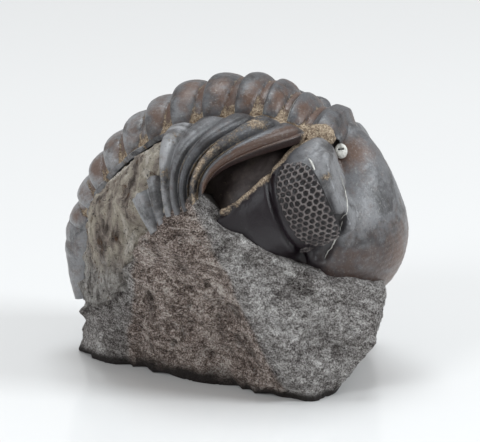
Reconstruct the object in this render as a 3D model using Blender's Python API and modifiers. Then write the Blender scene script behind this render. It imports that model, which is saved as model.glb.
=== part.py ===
"""Half-enrolled phacopid trilobite sitting on its limestone matrix.

Frame: +X towards the head, +Y the animal's left, +Z up, the sagittal plane at
Y = 0 and the rock's flat underside at Z = 0. All sizes below are millimetres.

Every plate of the thorax and tail is a strip of one arched sheet. The sheet is
carried by four curves in the sagittal plane, numbered by segment from 0 (neck)
to 11 (last thoracic ring) and on to 16 (tail tip): the crest of the axis, the
axial furrow, the outward bulge of the pleurae and their tips.
"""

import bmesh
import bpy
import numpy as np
from mathutils import Vector

MM = 0.001
OBJECT = "trilobite_fossil"

# Segment numbers at which the body curves below give a point or a width.
STATIONS = (0, 3, 6, 9, 12, 14, 16)
CREST_XZ = (
    (13.3, 31.9), (3.8, 35.5), (-8.4, 32.6), (-17.0, 25.1), (-20.8, 15.0), (-20.8, 10.0), (-19.6, 5.2))
FURROW_XZ = (
    (12.6, 30.2), (3.8, 32.0), (-7.2, 28.9), (-14.6, 22.4), (-16.9, 15.2), (-17.7, 10.2), (-18.2, 6.0))
BULGE_XZ = (
    (2.0, 28.8), (-3.8, 28.2), (-4.2, 27.5), (-11.3, 19.9), (-12.8, 14.0), (-14.4, 10.0), (-17.4, 6.4))
TIP_XZ = (
    (1.6, 24.8), (0.6, 20.6), (-3.2, 19.0), (-4.9, 16.9), (-2.6, 13.6), (-9.6, 10.2), (-15.8, 7.4))
AXIS_HALF_WIDTH = (5.2, 5.3, 5.2, 4.9, 4.3, 3.4, 2.6)
BODY_HALF_WIDTH = (15.4, 16.2, 15.8, 14.4, 12.4, 9.8, 5.8)

FURROW_V = 0.34          # share of a plate's half breadth that is axis
PLEURA_V = (0.43, 0.53, 0.65, 0.78, 0.9)    # where a pleura's grid lines run
RING_V = (0.12, 0.23)                       # where an axial ring's grid lines run
SEGMENTS = 11
TAIL_END = 15.4          # segment number at which the tail shield ends
SEGMENT_ROWS = 3
TAIL_ROWS = 8
PLATE = 0.9              # thickness of the shell plates
TAIL_PLATE = 0.6         # the tail shield is thinner
GAP = 0.3                # clearance between neighbouring pieces
RING_RELIEF = 0.75       # how far each axial ring stands proud
PLEURA_RELIEF = 0.35     # how far each pleura stands proud
RIB_START = 1 / 8        # share of the half breadth over which its relief grows
RIB_END = 1 / 6          # and over which it fades at the tip
BROKEN_V = -0.40         # where the near pleurae of the rear segments broke away
FIRST_BROKEN = 7
STUB_V = -0.80           # the sixth segment keeps more of its near pleura

NECK_PLATE = 1.2         # the neck ring is fused to the head
NECK_T = (-0.85, 0.5)    # segment numbers between which it lies
NECK_V = 0.36

# Head frame: A runs forward along the head, D is dorsal, Y stays sideways.
HEAD_TILT = np.radians(70.0)
HEAD_ORIGIN = np.array([12.4, 0.0, 31.5])
HEAD_A = np.array([np.cos(HEAD_TILT), 0.0, -np.sin(HEAD_TILT)])
HEAD_Y = np.array([0.0, 1.0, 0.0])
HEAD_D = np.array([np.sin(HEAD_TILT), 0.0, np.cos(HEAD_TILT)])
HEAD_CENTRE = (9.0, 0.0, -7.0)
HEAD_REACH = 22.0        # no point of the head is further from its centre
HEAD_FLOOR = -13.0       # D level of the cheek margins
HEAD_GRID = (44, 33)     # lines round the head's fore-and-aft axis, and along it

GLABELLA_NECK = 4.4      # half width where it meets the neck ring
GLABELLA_WIDEN = 5.5     # how much wider it gets forward
GLABELLA_WIDEST_A = 13.0
GLABELLA_FRONT = 9.4     # from its widest place to the front of the head
GLABELLA_REAR = 13.4     # from its widest place back to the neck
GLABELLA_AXIS_D = -4.2
GLABELLA_HEIGHT = 8.7    # crest above that axis

CHEEK_CENTRE_A = 6.0
CHEEK_RADII = (15.5, 15.2, 11.3)    # A, Y, D
BORDER_HALF_WIDTH = 15.4

EYE_CENTRE = (7.6, 9.2)  # A, Y
EYE_RADII = (5.1, 2.9)   # at the level of the head's origin
EYE_TOP = 1.2
EYE_FLARE = (0.1, 0.3)   # growth of those radii per millimetre down
EYE_FOOT = -9.0

LOBE_CENTRE = (4.9, 6.7, -4.0)      # swollen cheek between glabella and eye
LOBE_RADII = (5.0, 3.4, 4.4)

RIM_RADIUS = 0.65        # raised hind border of the cheeks
RIM_Y = (6.0, 15.2)

# Rock faces: outward normal and the distance of each face from the origin.
ROCK_FACES = (
    ((-0.261, -0.927, -0.266), 9.1),    # near left face, leaning out
    ((0.420, -0.900, 0.070), 17.9),     # near right face
    ((0.780, -0.100, -0.620), 11.3),    # undercut below the head
    ((0.930, 0.350, 0.100), 18.0),      # right end
    ((-0.985, -0.120, 0.120), 19.7),    # left end
    ((0.120, 0.975, -0.190), 13.2),     # far face
    ((-0.500, 0.850, 0.100), 19.0),     # far left corner
    ((-0.707, 0.000, 0.707), 17.0),     # slope up to the tail
    ((0.530, -0.100, 0.840), 22.0),     # slope up to the head
    ((0.150, 0.700, 0.700), 22.4),      # far upper edge, broken off
)
ROCK_BLOCK = 60.0
MOULD_T = (0.7, 12.4)    # segment numbers between which rock fills the body
MOULD_V = 0.97
MOULD_ROWS = 17

FILL_CENTRE = (5.2, 0.0, 21.5)
FILL_RADII = (9.6, 12.6, 9.0)

OSSICLE_CENTRE = (3.71, -3.97, 1.1)     # A, Y, D
OSSICLE_AXIS = (-0.48, -0.78, 0.4)      # A, Y, D
OSSICLE_RADIUS = 0.8
OSSICLE_HEIGHT = 0.7
OSSICLE_EDGE = 0.2
OSSICLE_SIDES = 20

MARCH_STEPS = 90         # rays feel for the head's surface in this many steps
HALVINGS = 18            # and then close in on it


def through(knots, t):
    """Cubic curve through knots placed at STATIONS, read at t."""
    at = np.array(STATIONS, float)
    k = np.array(knots, float)
    slopes = np.gradient(k, at, axis=0)
    t = np.clip(np.asarray(t, float), at[0] - 1.0, at[-1])
    i = np.clip(np.searchsorted(at, t, side="right") - 1, 0, len(at) - 2)
    span = at[i + 1] - at[i]
    s = (t - at[i]) / span
    if k.ndim == 2:
        span = span[..., None]
        s = s[..., None]
    start = (2 * s**3 - 3 * s**2 + 1) * k[i] + (s**3 - 2 * s**2 + s) * span * slopes[i]
    end = (3 * s**2 - 2 * s**3) * k[i + 1] + (s**3 - s**2) * span * slopes[i + 1]
    return start + end


def sheet(t, v):
    """Body sheet: t counts segments, v runs from the right tip -1 to the left tip 1.

    Inside the furrows it is an elliptical arch from furrow to crest. Outside
    them it swings out and down along a curve from furrow by bulge to tip.
    """
    t, v = np.broadcast_arrays(np.asarray(t, float), np.asarray(v, float))
    side = np.sign(v)
    reach = np.abs(v)
    crest = through(CREST_XZ, t)
    furrow = through(FURROW_XZ, t)
    bulge = through(BULGE_XZ, t)
    tip = through(TIP_XZ, t)
    axis = through(AXIS_HALF_WIDTH, t)
    half = through(BODY_HALF_WIDTH, t)
    arch = np.clip(reach / FURROW_V, 0, 1) * np.pi / 2
    swing = np.clip((reach - FURROW_V) / (1 - FURROW_V), 0, 1) * np.pi / 2
    inner_y = axis * np.sin(arch)
    outer_y = axis + (half - axis) * np.sin(swing)
    rise = np.cos(arch)[..., None]
    inner_xz = furrow + (crest - furrow) * rise
    d = (1 - np.cos(swing) ** 0.85)[..., None]
    outer_xz = (1 - d) ** 2 * furrow + 2 * d * (1 - d) * bulge + d**2 * tip
    inside = reach < FURROW_V
    y = np.where(inside, inner_y, outer_y) * side
    xz = np.where(inside[..., None], inner_xz, outer_xz)
    return np.stack([xz[..., 0], y, xz[..., 1]], axis=-1)


def sheet_frame(t, v):
    """Outward normal of the sheet and its length per segment at t, v."""
    step = 0.01
    along = (sheet(t + step, v) - sheet(t - step, v)) / (2 * step)
    sideways = (sheet(t, v + step) - sheet(t, v - step)) / (2 * step)
    normal = np.cross(sideways, along)
    normal /= np.linalg.norm(normal, axis=-1, keepdims=True)
    return normal, np.linalg.norm(along, axis=-1)


def across(first, last):
    """Places across the body from first to last, with one in each axial furrow."""
    half = np.array([*RING_V, FURROW_V, *PLEURA_V])
    v = np.concatenate([-half[::-1], [0.0], half])
    apart = 0.04
    return np.concatenate([[first], v[(v > first + apart) & (v < last - apart)], [last]])


def lifted(t, v, lift):
    """Points of the sheet moved out along its normal."""
    normal, _ = sheet_frame(t, v)
    return sheet(t, v) + normal * np.asarray(lift)[..., None]


def smooth_min(values, k):
    """Union of distance-like fields with creases rounded over about k."""
    stack = np.stack(values)
    low = stack.min(axis=0)
    return low - k * np.log(np.exp(-(stack - low) / k).sum(axis=0))


def smooth_step(x, first, last):
    """Rises from 0 at first to 1 at last with level ends."""
    s = np.clip((x - first) / (last - first), 0, 1)
    return s**2 * (3 - 2 * s)


def cheek_dome(y):
    """D level of the cheeks at distance y from the midline."""
    fall = np.sqrt(np.clip(1 - (y / BORDER_HALF_WIDTH) ** 2, 0, None))
    return HEAD_FLOOR + CHEEK_RADII[2] * fall


def back_edge(y, d):
    """A level of the head's hind face, which leans forward below its border.

    Behind the glabella it is nearly upright to the neck. On the cheeks it runs
    forward towards the corner of the head.
    """
    y = np.abs(y)
    cheek = 0.8 + 3.6 * (np.clip(y - 5.5, 0, None) / 9.5) ** 1.5
    below_neck = 1.5 * np.clip(0.8 - d, 0, 3.0)
    below_cheek = 0.6 * np.clip(cheek_dome(y) - d, 0, 6.0)
    away = smooth_step(y, 4.8, 5.8)
    return (1 - away) * (below_neck + 0.2) + away * (cheek + below_cheek)


def glabella_field(a, y, d):
    """Bulb that widens forward: rounder ahead of its widest place than behind it."""
    half = GLABELLA_NECK + GLABELLA_WIDEN * smooth_step(a, 1.5, GLABELLA_WIDEST_A)
    girth = np.hypot(y / half, (d - GLABELLA_AXIS_D) / GLABELLA_HEIGHT)
    ahead = np.clip((a - GLABELLA_WIDEST_A) / GLABELLA_FRONT, 0, None)
    behind = np.clip((GLABELLA_WIDEST_A - a) / GLABELLA_REAR, 0, None)
    bulb = np.where(a > GLABELLA_WIDEST_A, np.hypot(girth, ahead), np.cbrt(girth**3 + behind**3))
    return (bulb - 1) * 7.5


def cheek_field(a, y, d):
    """Quarter ellipsoid of both cheeks."""
    long, wide, high = CHEEK_RADII
    reach = np.sqrt(((a - CHEEK_CENTRE_A) / long) ** 2 + (y / wide) ** 2 + ((d - HEAD_FLOOR) / high) ** 2)
    return (reach - 1) * high


def eye_field(a, y, d):
    """Turret of each eye: an oval in plan that flares downwards, with a flat top."""
    low = -np.clip(d, EYE_FOOT, 1.5)
    along = (a - EYE_CENTRE[0]) / (EYE_RADII[0] + EYE_FLARE[0] * low)
    out = (np.abs(y) - EYE_CENTRE[1]) / (EYE_RADII[1] + EYE_FLARE[1] * low)
    return -smooth_min([(1 - np.hypot(along, out)) * 3.4, EYE_TOP - d], 0.35)


def lobe_field(a, y, d):
    """Swollen cheek between glabella and eye: an ellipsoid with a flattened crown."""
    long, wide, high = LOBE_RADII
    along = np.abs((a - LOBE_CENTRE[0]) / long) ** 3
    out = np.abs((np.abs(y) - LOBE_CENTRE[1]) / wide) ** 3
    up = np.abs((d - LOBE_CENTRE[2]) / high) ** 3
    return (np.cbrt(along + out + up) - 1) * 4


def rim_field(a, y, d):
    """Raised cord along the hind border of each cheek."""
    border = cheek_dome(y)
    cord = np.hypot(a - back_edge(y, border) - 0.55, d - border - 0.1) - RIM_RADIUS
    side = np.abs(y)
    return np.where((side > RIM_Y[0]) & (side < RIM_Y[1]), cord, 3.0)


def head_field(a, y, d):
    """Distance-like field of the head, below 0 inside it."""
    fields = (glabella_field, cheek_field, eye_field, lobe_field, rim_field)
    whole = smooth_min([shape(a, y, d) for shape in fields], 0.12)
    cut = -smooth_min([-whole, (a - back_edge(y, d)) * 0.7], 0.3)
    return np.maximum(cut, HEAD_FLOOR - d)


def in_head(vector):
    """World direction of a vector given in the head's A, Y, D."""
    a, y, d = vector
    return a * HEAD_A + y * HEAD_Y + d * HEAD_D


def head_shell(grow=0.0):
    """Grid of head points seen from its centre, in world millimetres.

    Each ray keeps the outermost place where it enters the head's field.
    """
    longitudes, latitudes = HEAD_GRID
    lon = np.linspace(0, 2 * np.pi, longitudes, endpoint=False)[None, :]
    lat = np.linspace(0, np.pi, latitudes)[1:-1, None]
    lat = np.vstack([[[0.0]], lat, [[np.pi]]])
    ray_a = -np.cos(lat) + 0 * lon
    ray_y = np.sin(lat) * np.sin(lon)
    ray_d = np.sin(lat) * np.cos(lon)
    ca, cy, cd = HEAD_CENTRE

    def inside(r):
        return head_field(ca + ray_a * r, cy + ray_y * r, cd + ray_d * r) < 0

    far = np.full(ray_a.shape, HEAD_REACH)
    found = np.zeros(ray_a.shape, bool)
    for r in np.linspace(HEAD_REACH, 0, MARCH_STEPS, endpoint=False):
        found |= inside(r)
        far = np.where(found, far, r)
    near = far - HEAD_REACH / MARCH_STEPS
    for _ in range(HALVINGS):
        middle = (near + far) / 2
        hit = inside(middle)
        near = np.where(hit, middle, near)
        far = np.where(hit, far, middle)
    r = near + grow
    a = ca + ray_a * r
    y = cy + ray_y * r
    d = cd + ray_d * r
    return HEAD_ORIGIN + in_head((a[..., None], y[..., None], d[..., None]))


def new_collection(name):
    """Add a collection to the scene."""
    group = bpy.data.collections.new(name)
    bpy.context.scene.collection.children.link(group)
    return group


def material(name, colour, roughness):
    """Principled material of one colour."""
    finish = bpy.data.materials.new(name)
    finish.use_nodes = True
    shader = finish.node_tree.nodes["Principled BSDF"]
    shader.inputs["Base Color"].default_value = (*colour, 1.0)
    shader.inputs["Roughness"].default_value = roughness
    shader.inputs["Metallic"].default_value = 0.0
    return finish


def mesh_object(name, points, faces, group, finish):
    """Object from points in millimetres and a list of faces."""
    mesh = bpy.data.meshes.new(name)
    mesh.from_pydata((np.asarray(points) * MM).tolist(), [], faces)
    mesh.update()
    if finish:
        mesh.materials.append(finish)
    thing = bpy.data.objects.new(name, mesh)
    group.objects.link(thing)
    return thing


def grid_faces(rows, columns, wrap=False):
    """Triangle pairs of a grid of points stored row by row."""
    last = columns if wrap else columns - 1
    faces = []
    for i in range(rows - 1):
        for j in range(last):
            a = i * columns + j
            b = i * columns + (j + 1) % columns
            faces.append((a, b, b + columns))
            faces.append((a, b + columns, a + columns))
    return faces


def tidy(thing):
    """Merge doubled points and make every face point outwards."""
    work = bmesh.new()
    work.from_mesh(thing.data)
    bmesh.ops.remove_doubles(work, verts=work.verts, dist=0.00001)
    bmesh.ops.dissolve_degenerate(work, edges=work.edges, dist=0.00001)
    bmesh.ops.recalc_face_normals(work, faces=work.faces)
    work.to_mesh(thing.data)
    work.free()
    thing.data.shade_smooth()
    return thing


def plate(name, first, last, v_first, v_last, rows, group, finish, thickness=PLATE):
    """Shell plate: a strip of the sheet with its relief, given thickness inwards."""
    v = across(v_first, v_last)[None, :]
    share = np.linspace(0, 1, rows)[:, None]
    _, pace_first = sheet_frame(np.full_like(v, first), v)
    _, pace_last = sheet_frame(np.full_like(v, last), v)
    start = first + GAP / 2 / pace_first
    end = last - GAP / 2 / pace_last
    t = start + (end - start) * share
    reach = np.abs(v)
    ring = np.clip(1 - (v / FURROW_V) ** 4, 0, 1)
    rib = np.clip((reach - FURROW_V) / RIB_START, 0, 1) * np.clip((1 - reach) / RIB_END, 0, 1)
    swell = np.sin(np.pi * share) ** 0.7
    points = lifted(t, v + 0 * t, swell * (RING_RELIEF * ring + PLEURA_RELIEF * rib))
    thing = mesh_object(name, points.reshape(-1, 3), grid_faces(rows, v.size), group, finish)
    thick = thing.modifiers.new("shell_thickness", "SOLIDIFY")
    thick.thickness = thickness * MM
    thick.offset = -1.0
    thing.data.shade_smooth()
    return thing


def loft(name, sections, group, finish=None):
    """Closed solid through closed sections, with a flat face on each end."""
    rows, columns = sections.shape[:2]
    faces = grid_faces(rows, columns, wrap=True)
    faces.append(tuple(range(columns)))
    faces.append(tuple(reversed(range((rows - 1) * columns, rows * columns))))
    return tidy(mesh_object(name, sections.reshape(-1, 3), faces, group, finish))


def head_solid(name, grow, group, finish=None):
    """Head shield grown outwards, closed at both ends of its fore-and-aft axis."""
    longitudes, latitudes = HEAD_GRID
    points = head_shell(grow).reshape(-1, 3)
    faces = grid_faces(latitudes, longitudes, wrap=True)
    return tidy(mesh_object(name, points, faces, group, finish))


def rock_block(group, finish):
    """Limestone block: a cube cut by each of the rock's faces."""
    mesh = bpy.data.meshes.new("matrix")
    work = bmesh.new()
    bmesh.ops.create_cube(work, size=ROCK_BLOCK * MM)
    bmesh.ops.translate(work, verts=work.verts, vec=(0, 0, ROCK_BLOCK * MM / 2))
    for normal, distance in ROCK_FACES:
        unit = np.array(normal) / np.linalg.norm(normal)
        geometry = work.verts[:] + work.edges[:] + work.faces[:]
        cut = bmesh.ops.bisect_plane(
            work, geom=geometry, plane_co=unit * distance * MM, plane_no=unit, clear_outer=True)
        rim = [item for item in cut["geom_cut"] if isinstance(item, bmesh.types.BMEdge)]
        bmesh.ops.contextual_create(work, geom=rim)
    bmesh.ops.recalc_face_normals(work, faces=work.faces)
    work.to_mesh(mesh)
    work.free()
    mesh.materials.append(finish)
    thing = bpy.data.objects.new("matrix", mesh)
    group.objects.link(thing)
    return thing


def boolean(thing, tool, operation):
    """Join or cut with a tool that stays hidden.

    The exact solver loses the rock at its second cut, so all use the manifold one.
    """
    cut = thing.modifiers.new(operation.lower() + "_" + tool.name, "BOOLEAN")
    cut.operation = operation
    cut.solver = "MANIFOLD"
    cut.object = tool
    tool.hide_render = True
    tool.display_type = "WIRE"


def ossicle(group, finish):
    """Crinoid ossicle: a small rounded disc lying against the glabella."""
    mesh = bpy.data.meshes.new("crinoid_ossicle")
    work = bmesh.new()
    bmesh.ops.create_cone(
        work, cap_ends=True, segments=OSSICLE_SIDES, radius1=OSSICLE_RADIUS * MM,
        radius2=OSSICLE_RADIUS * MM, depth=OSSICLE_HEIGHT * MM)
    work.to_mesh(mesh)
    work.free()
    mesh.materials.append(finish)
    thing = bpy.data.objects.new("crinoid_ossicle", mesh)
    group.objects.link(thing)
    thing.location = Vector(HEAD_ORIGIN + in_head(OSSICLE_CENTRE)) * MM
    thing.rotation_euler = Vector(in_head(OSSICLE_AXIS)).to_track_quat("Z", "Y").to_euler()
    edge = thing.modifiers.new("rounded_edge", "BEVEL")
    edge.width = OSSICLE_EDGE * MM
    edge.segments = 2
    edge.limit_method = "ANGLE"
    mesh.shade_smooth()
    return thing


def keep_largest_body(thing):
    """Apply the modifiers and drop the crumbs that the cuts set free."""
    scene = bpy.context.evaluated_depsgraph_get()
    mesh = bpy.data.meshes.new_from_object(thing.evaluated_get(scene))
    thing.modifiers.clear()
    thing.data = mesh
    work = bmesh.new()
    work.from_mesh(mesh)
    left = set(work.faces)
    bodies = []
    while left:
        front = {left.pop()}
        body = set(front)
        while front:
            front = {face for old in front for edge in old.edges for face in edge.link_faces} & left
            left -= front
            body |= front
        bodies.append(body)
    largest = max(bodies, key=len)
    crumbs = [face for face in work.faces if face not in largest]
    bmesh.ops.delete(work, geom=crumbs, context="FACES")
    work.to_mesh(mesh)
    work.free()


def mould_sections():
    """Sections of the rock that fills the body below its plates."""
    t = np.linspace(*MOULD_T, MOULD_ROWS)[:, None]
    v = across(-MOULD_V, MOULD_V)[None, :]
    return lifted(t + 0 * v, v + 0 * t, np.full((MOULD_ROWS, v.size), -PLATE - 2 * GAP))


def plate_room(first, last, v_first, v_last, rows):
    """Sections of the space that a run of plates and their clearance take up.

    The outer side leaps over the axial furrows, where an offset would fold.
    """
    t = np.linspace(first, last, rows)[:, None]
    inner_v = across(v_first, v_last)[None, :]
    leap = 0.13
    outer_v = inner_v[:, np.abs(np.abs(inner_v[0]) - FURROW_V) > leap]
    outer = lifted(t + 0 * outer_v, outer_v + 0 * t, RING_RELIEF + 2 * GAP + 0 * t * outer_v)
    inner = lifted(t + 0 * inner_v, inner_v + 0 * t, -PLATE - 1.5 * GAP + 0 * t * inner_v)
    for end, inwards, row in ((v_first, 0.05, 0), (v_last, -0.05, -1)):
        beyond = sheet(t, end) - sheet(t, end + inwards)
        beyond *= 4 * GAP / np.linalg.norm(beyond, axis=-1, keepdims=True)
        outer[:, row] += beyond[:, 0]
        inner[:, row] += beyond[:, 0]
    return np.concatenate([outer, inner[:, ::-1]], axis=1)


def neck_fill(group):
    """Rock behind the head, seen in the hollow below the first pleurae."""
    mesh = bpy.data.meshes.new("neck_fill")
    work = bmesh.new()
    bmesh.ops.create_uvsphere(work, u_segments=20, v_segments=14, radius=MM)
    bmesh.ops.scale(work, verts=work.verts, vec=FILL_RADII)
    bmesh.ops.translate(work, verts=work.verts, vec=Vector(FILL_CENTRE) * MM)
    work.to_mesh(mesh)
    work.free()
    thing = bpy.data.objects.new("neck_fill", mesh)
    group.objects.link(thing)
    return thing


def main():
    """Build every piece of the fossil."""
    for thing in list(bpy.data.objects):
        bpy.data.objects.remove(thing, do_unlink=True)
    parts = new_collection(OBJECT)
    cutters = new_collection("cutters")
    shell = material("fossil_shell", (0.13, 0.14, 0.15), 0.42)
    stone = material("limestone", (0.20, 0.17, 0.15), 0.85)
    calcite = material("white_calcite", (0.75, 0.75, 0.72), 0.5)

    for number in range(1, SEGMENTS + 1):
        v_first = -1.0
        if number >= FIRST_BROKEN:
            v_first = BROKEN_V
        elif number == FIRST_BROKEN - 1:
            v_first = STUB_V
        name = f"thoracic_segment_{number:02d}"
        plate(name, number - 0.5, number + 0.5, v_first, 1.0, SEGMENT_ROWS, parts, shell)
    plate("pygidium", SEGMENTS + 0.5, TAIL_END, BROKEN_V, 1.0, TAIL_ROWS, parts, shell, TAIL_PLATE)
    head = head_solid("cephalon", 0.0, parts, shell)
    ring = plate("occipital_ring", *NECK_T, -NECK_V, NECK_V, 4, cutters, shell, NECK_PLATE)
    boolean(head, ring, "UNION")

    ossicle(parts, calcite)

    matrix = rock_block(parts, stone)
    boolean(matrix, loft("mould_core", mould_sections(), cutters), "UNION")
    boolean(matrix, neck_fill(cutters), "UNION")
    boolean(matrix, head_solid("head_room", 2 * GAP, cutters), "DIFFERENCE")
    rooms = (
        ("neck_room", NECK_T[0] - 0.05, NECK_T[1] + 0.1, -NECK_V, NECK_V, 4),
        ("thorax_room", 0.4, 6.6, -1.0, 1.0, 18),
        ("rear_room", 6.4, TAIL_END + 0.35, BROKEN_V, 1.0, 16),
    )
    for name, *reach in rooms:
        boolean(matrix, loft(name, plate_room(*reach), cutters), "DIFFERENCE")
    keep_largest_body(matrix)


if __name__ == "__main__":
    main()
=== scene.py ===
"""Half-enrolled trilobite on its block of limestone: the finished surfaces.

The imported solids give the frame: +X towards the head, +Y the animal's left,
+Z up, and the rock's flat underside at Z = 0. Every size below is in
millimetres and becomes metres where a mesh is made.
"""

import logging
from collections.abc import Iterable
from dataclasses import dataclass, field
from enum import Enum

import bpy
import numpy as np
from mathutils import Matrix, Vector


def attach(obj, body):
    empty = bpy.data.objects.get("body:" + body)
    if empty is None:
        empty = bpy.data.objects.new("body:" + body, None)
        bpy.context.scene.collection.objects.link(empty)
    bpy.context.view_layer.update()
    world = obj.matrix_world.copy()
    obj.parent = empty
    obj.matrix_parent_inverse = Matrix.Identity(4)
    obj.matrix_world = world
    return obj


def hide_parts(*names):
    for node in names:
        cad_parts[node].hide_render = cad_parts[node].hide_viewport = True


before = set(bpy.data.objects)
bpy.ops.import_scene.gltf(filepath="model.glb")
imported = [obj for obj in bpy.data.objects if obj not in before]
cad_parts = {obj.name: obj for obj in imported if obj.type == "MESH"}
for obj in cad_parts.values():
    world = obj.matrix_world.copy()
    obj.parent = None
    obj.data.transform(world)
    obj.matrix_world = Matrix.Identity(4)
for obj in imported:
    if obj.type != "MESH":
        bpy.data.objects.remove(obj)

MM = 0.001
log = logging.getLogger("trilobite")

Point = tuple[float, float, float]
Tone = tuple[int, int, int]
Socket = bpy.types.NodeSocket


class Slot(Enum):
    """Material slots of the record."""

    SHELL = "shell"
    LIMESTONE = "limestone"
    CALCITE = "calcite"


# ---------------------------------------------------------------- numbers


def srgb(red: int, green: int, blue: int) -> tuple[float, float, float, float]:
    """Turns a display colour into a linear one.

    Args:
        red: Red, 0 to 255.
        green: Green, 0 to 255.
        blue: Blue, 0 to 255.

    Returns:
        Linear red, green and blue with full alpha.
    """
    c = np.array([red, green, blue]) / 255.0
    linear = np.where(c <= 0.04045, c / 12.92, ((c + 0.055) / 1.055) ** 2.4)
    return (float(linear[0]), float(linear[1]), float(linear[2]), 1.0)


def smooth_step(x: np.ndarray, first: float, last: float) -> np.ndarray:
    """Rises from 0 at first to 1 at last with level ends.

    Args:
        x: Values to read the step at.
        first: Where it leaves 0.
        last: Where it reaches 1.

    Returns:
        Step heights, 3s² − 2s³ of the clipped share s.
    """
    s = np.clip((x - first) / (last - first), 0, 1)
    return s**2 * (3 - 2 * s)


def hill(x: np.ndarray, centre: float, width: float) -> np.ndarray:
    """Bell curve exp(−((x − centre) / width)²) of height 1."""
    return np.exp(-(((x - centre) / width) ** 2))


def unit(vectors: np.ndarray) -> np.ndarray:
    """Vectors along the last axis, each brought to length 1."""
    return vectors / np.maximum(np.linalg.norm(vectors, axis=-1, keepdims=True), 1e-9)


def unit_grid(rows: int, columns: int) -> tuple[np.ndarray, np.ndarray]:
    """Shares from 0 to 1 down the rows and along the columns of a grid."""
    return np.linspace(0, 1, rows)[:, None], np.linspace(0, 1, columns)[None, :]


def smooth_min(values: list[np.ndarray], k: float) -> np.ndarray:
    """Union of distance-like fields with creases rounded over about k.

    Args:
        values: Fields of one shape.
        k: Rounding length.

    Returns:
        Minus k times the logarithm of the sum of exp(−value / k).
    """
    stack = np.stack(values)
    low = stack.min(axis=0)
    return low - k * np.log(np.exp(-(stack - low) / k).sum(axis=0))


@dataclass(frozen=True)
class Grain:
    """Layered value noise over points, about −1 to 1.

    Each layer hashes the corners of a cubic lattice to random heights, blends
    them with a smooth step along each axis, and halves its size for the next.
    """

    size: float
    layers: int = 3
    fade: float = 0.5
    seed: int = 1
    ridged: bool = False

    def at(self, points: np.ndarray) -> np.ndarray:
        """Reads the noise.

        Args:
            points: Places, with x, y, z on the last axis.

        Returns:
            One value a place.
        """
        total = np.zeros(points.shape[:-1])
        weight, weights, size = 1.0, 0.0, self.size
        for layer in range(self.layers):
            value = self._lattice(points / size, self.seed * 131 + layer * 17)
            total += weight * ((1 - 2 * np.abs(value)) if self.ridged else value)
            weights += weight
            weight *= self.fade
            size *= 0.5
        return total / weights

    @staticmethod
    def _lattice(p: np.ndarray, seed: int) -> np.ndarray:
        """One layer: the eight corners' hashed heights blended by smooth steps.

        Args:
            p: Places in cells of the lattice.
            seed: Seed of the hash.

        Returns:
            One value a place, from -1 to 1.
        """
        cell = np.floor(p).astype(np.int64)
        f = p - cell
        f = f * f * f * (f * (f * 6 - 15) + 10)
        out = np.zeros(p.shape[:-1])
        for corner in range(8):
            offset = np.array([corner & 1, (corner >> 1) & 1, (corner >> 2) & 1])
            c = (cell + offset).astype(np.uint64)
            h = c[..., 0] * np.uint64(73856093) ^ c[..., 1] * np.uint64(19349663)
            h = h ^ (c[..., 2] * np.uint64(83492791)) ^ np.uint64(seed * 2654435761 % 2**32)
            h = (h ^ (h >> np.uint64(15))) * np.uint64(2246822519) & np.uint64(0xFFFFFFFF)
            h = (h ^ (h >> np.uint64(13))) * np.uint64(3266489917) & np.uint64(0xFFFFFFFF)
            height = (h ^ (h >> np.uint64(16))).astype(np.float64) / 2**31 - 1.0
            share = np.prod(np.where(offset == 1, f, 1 - f), axis=-1)
            out += share * height
        return out


def way_from(points: np.ndarray, path: np.ndarray) -> np.ndarray:
    """Distance of each point from a line of straight runs.

    Args:
        points: Places, with their two or three coordinates on the last axis.
        path: The line's corners, one a row.

    Returns:
        Least distance to any run.
    """
    best = np.full(points.shape[:-1], np.inf)
    for start, end in zip(path[:-1], path[1:]):
        run = end - start
        share = np.clip(((points - start) @ run) / (run @ run), 0, 1)
        best = np.minimum(best, np.linalg.norm(points - start - share[..., None] * run, axis=-1))
    return best


# ---------------------------------------------------------------- meshes


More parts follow.
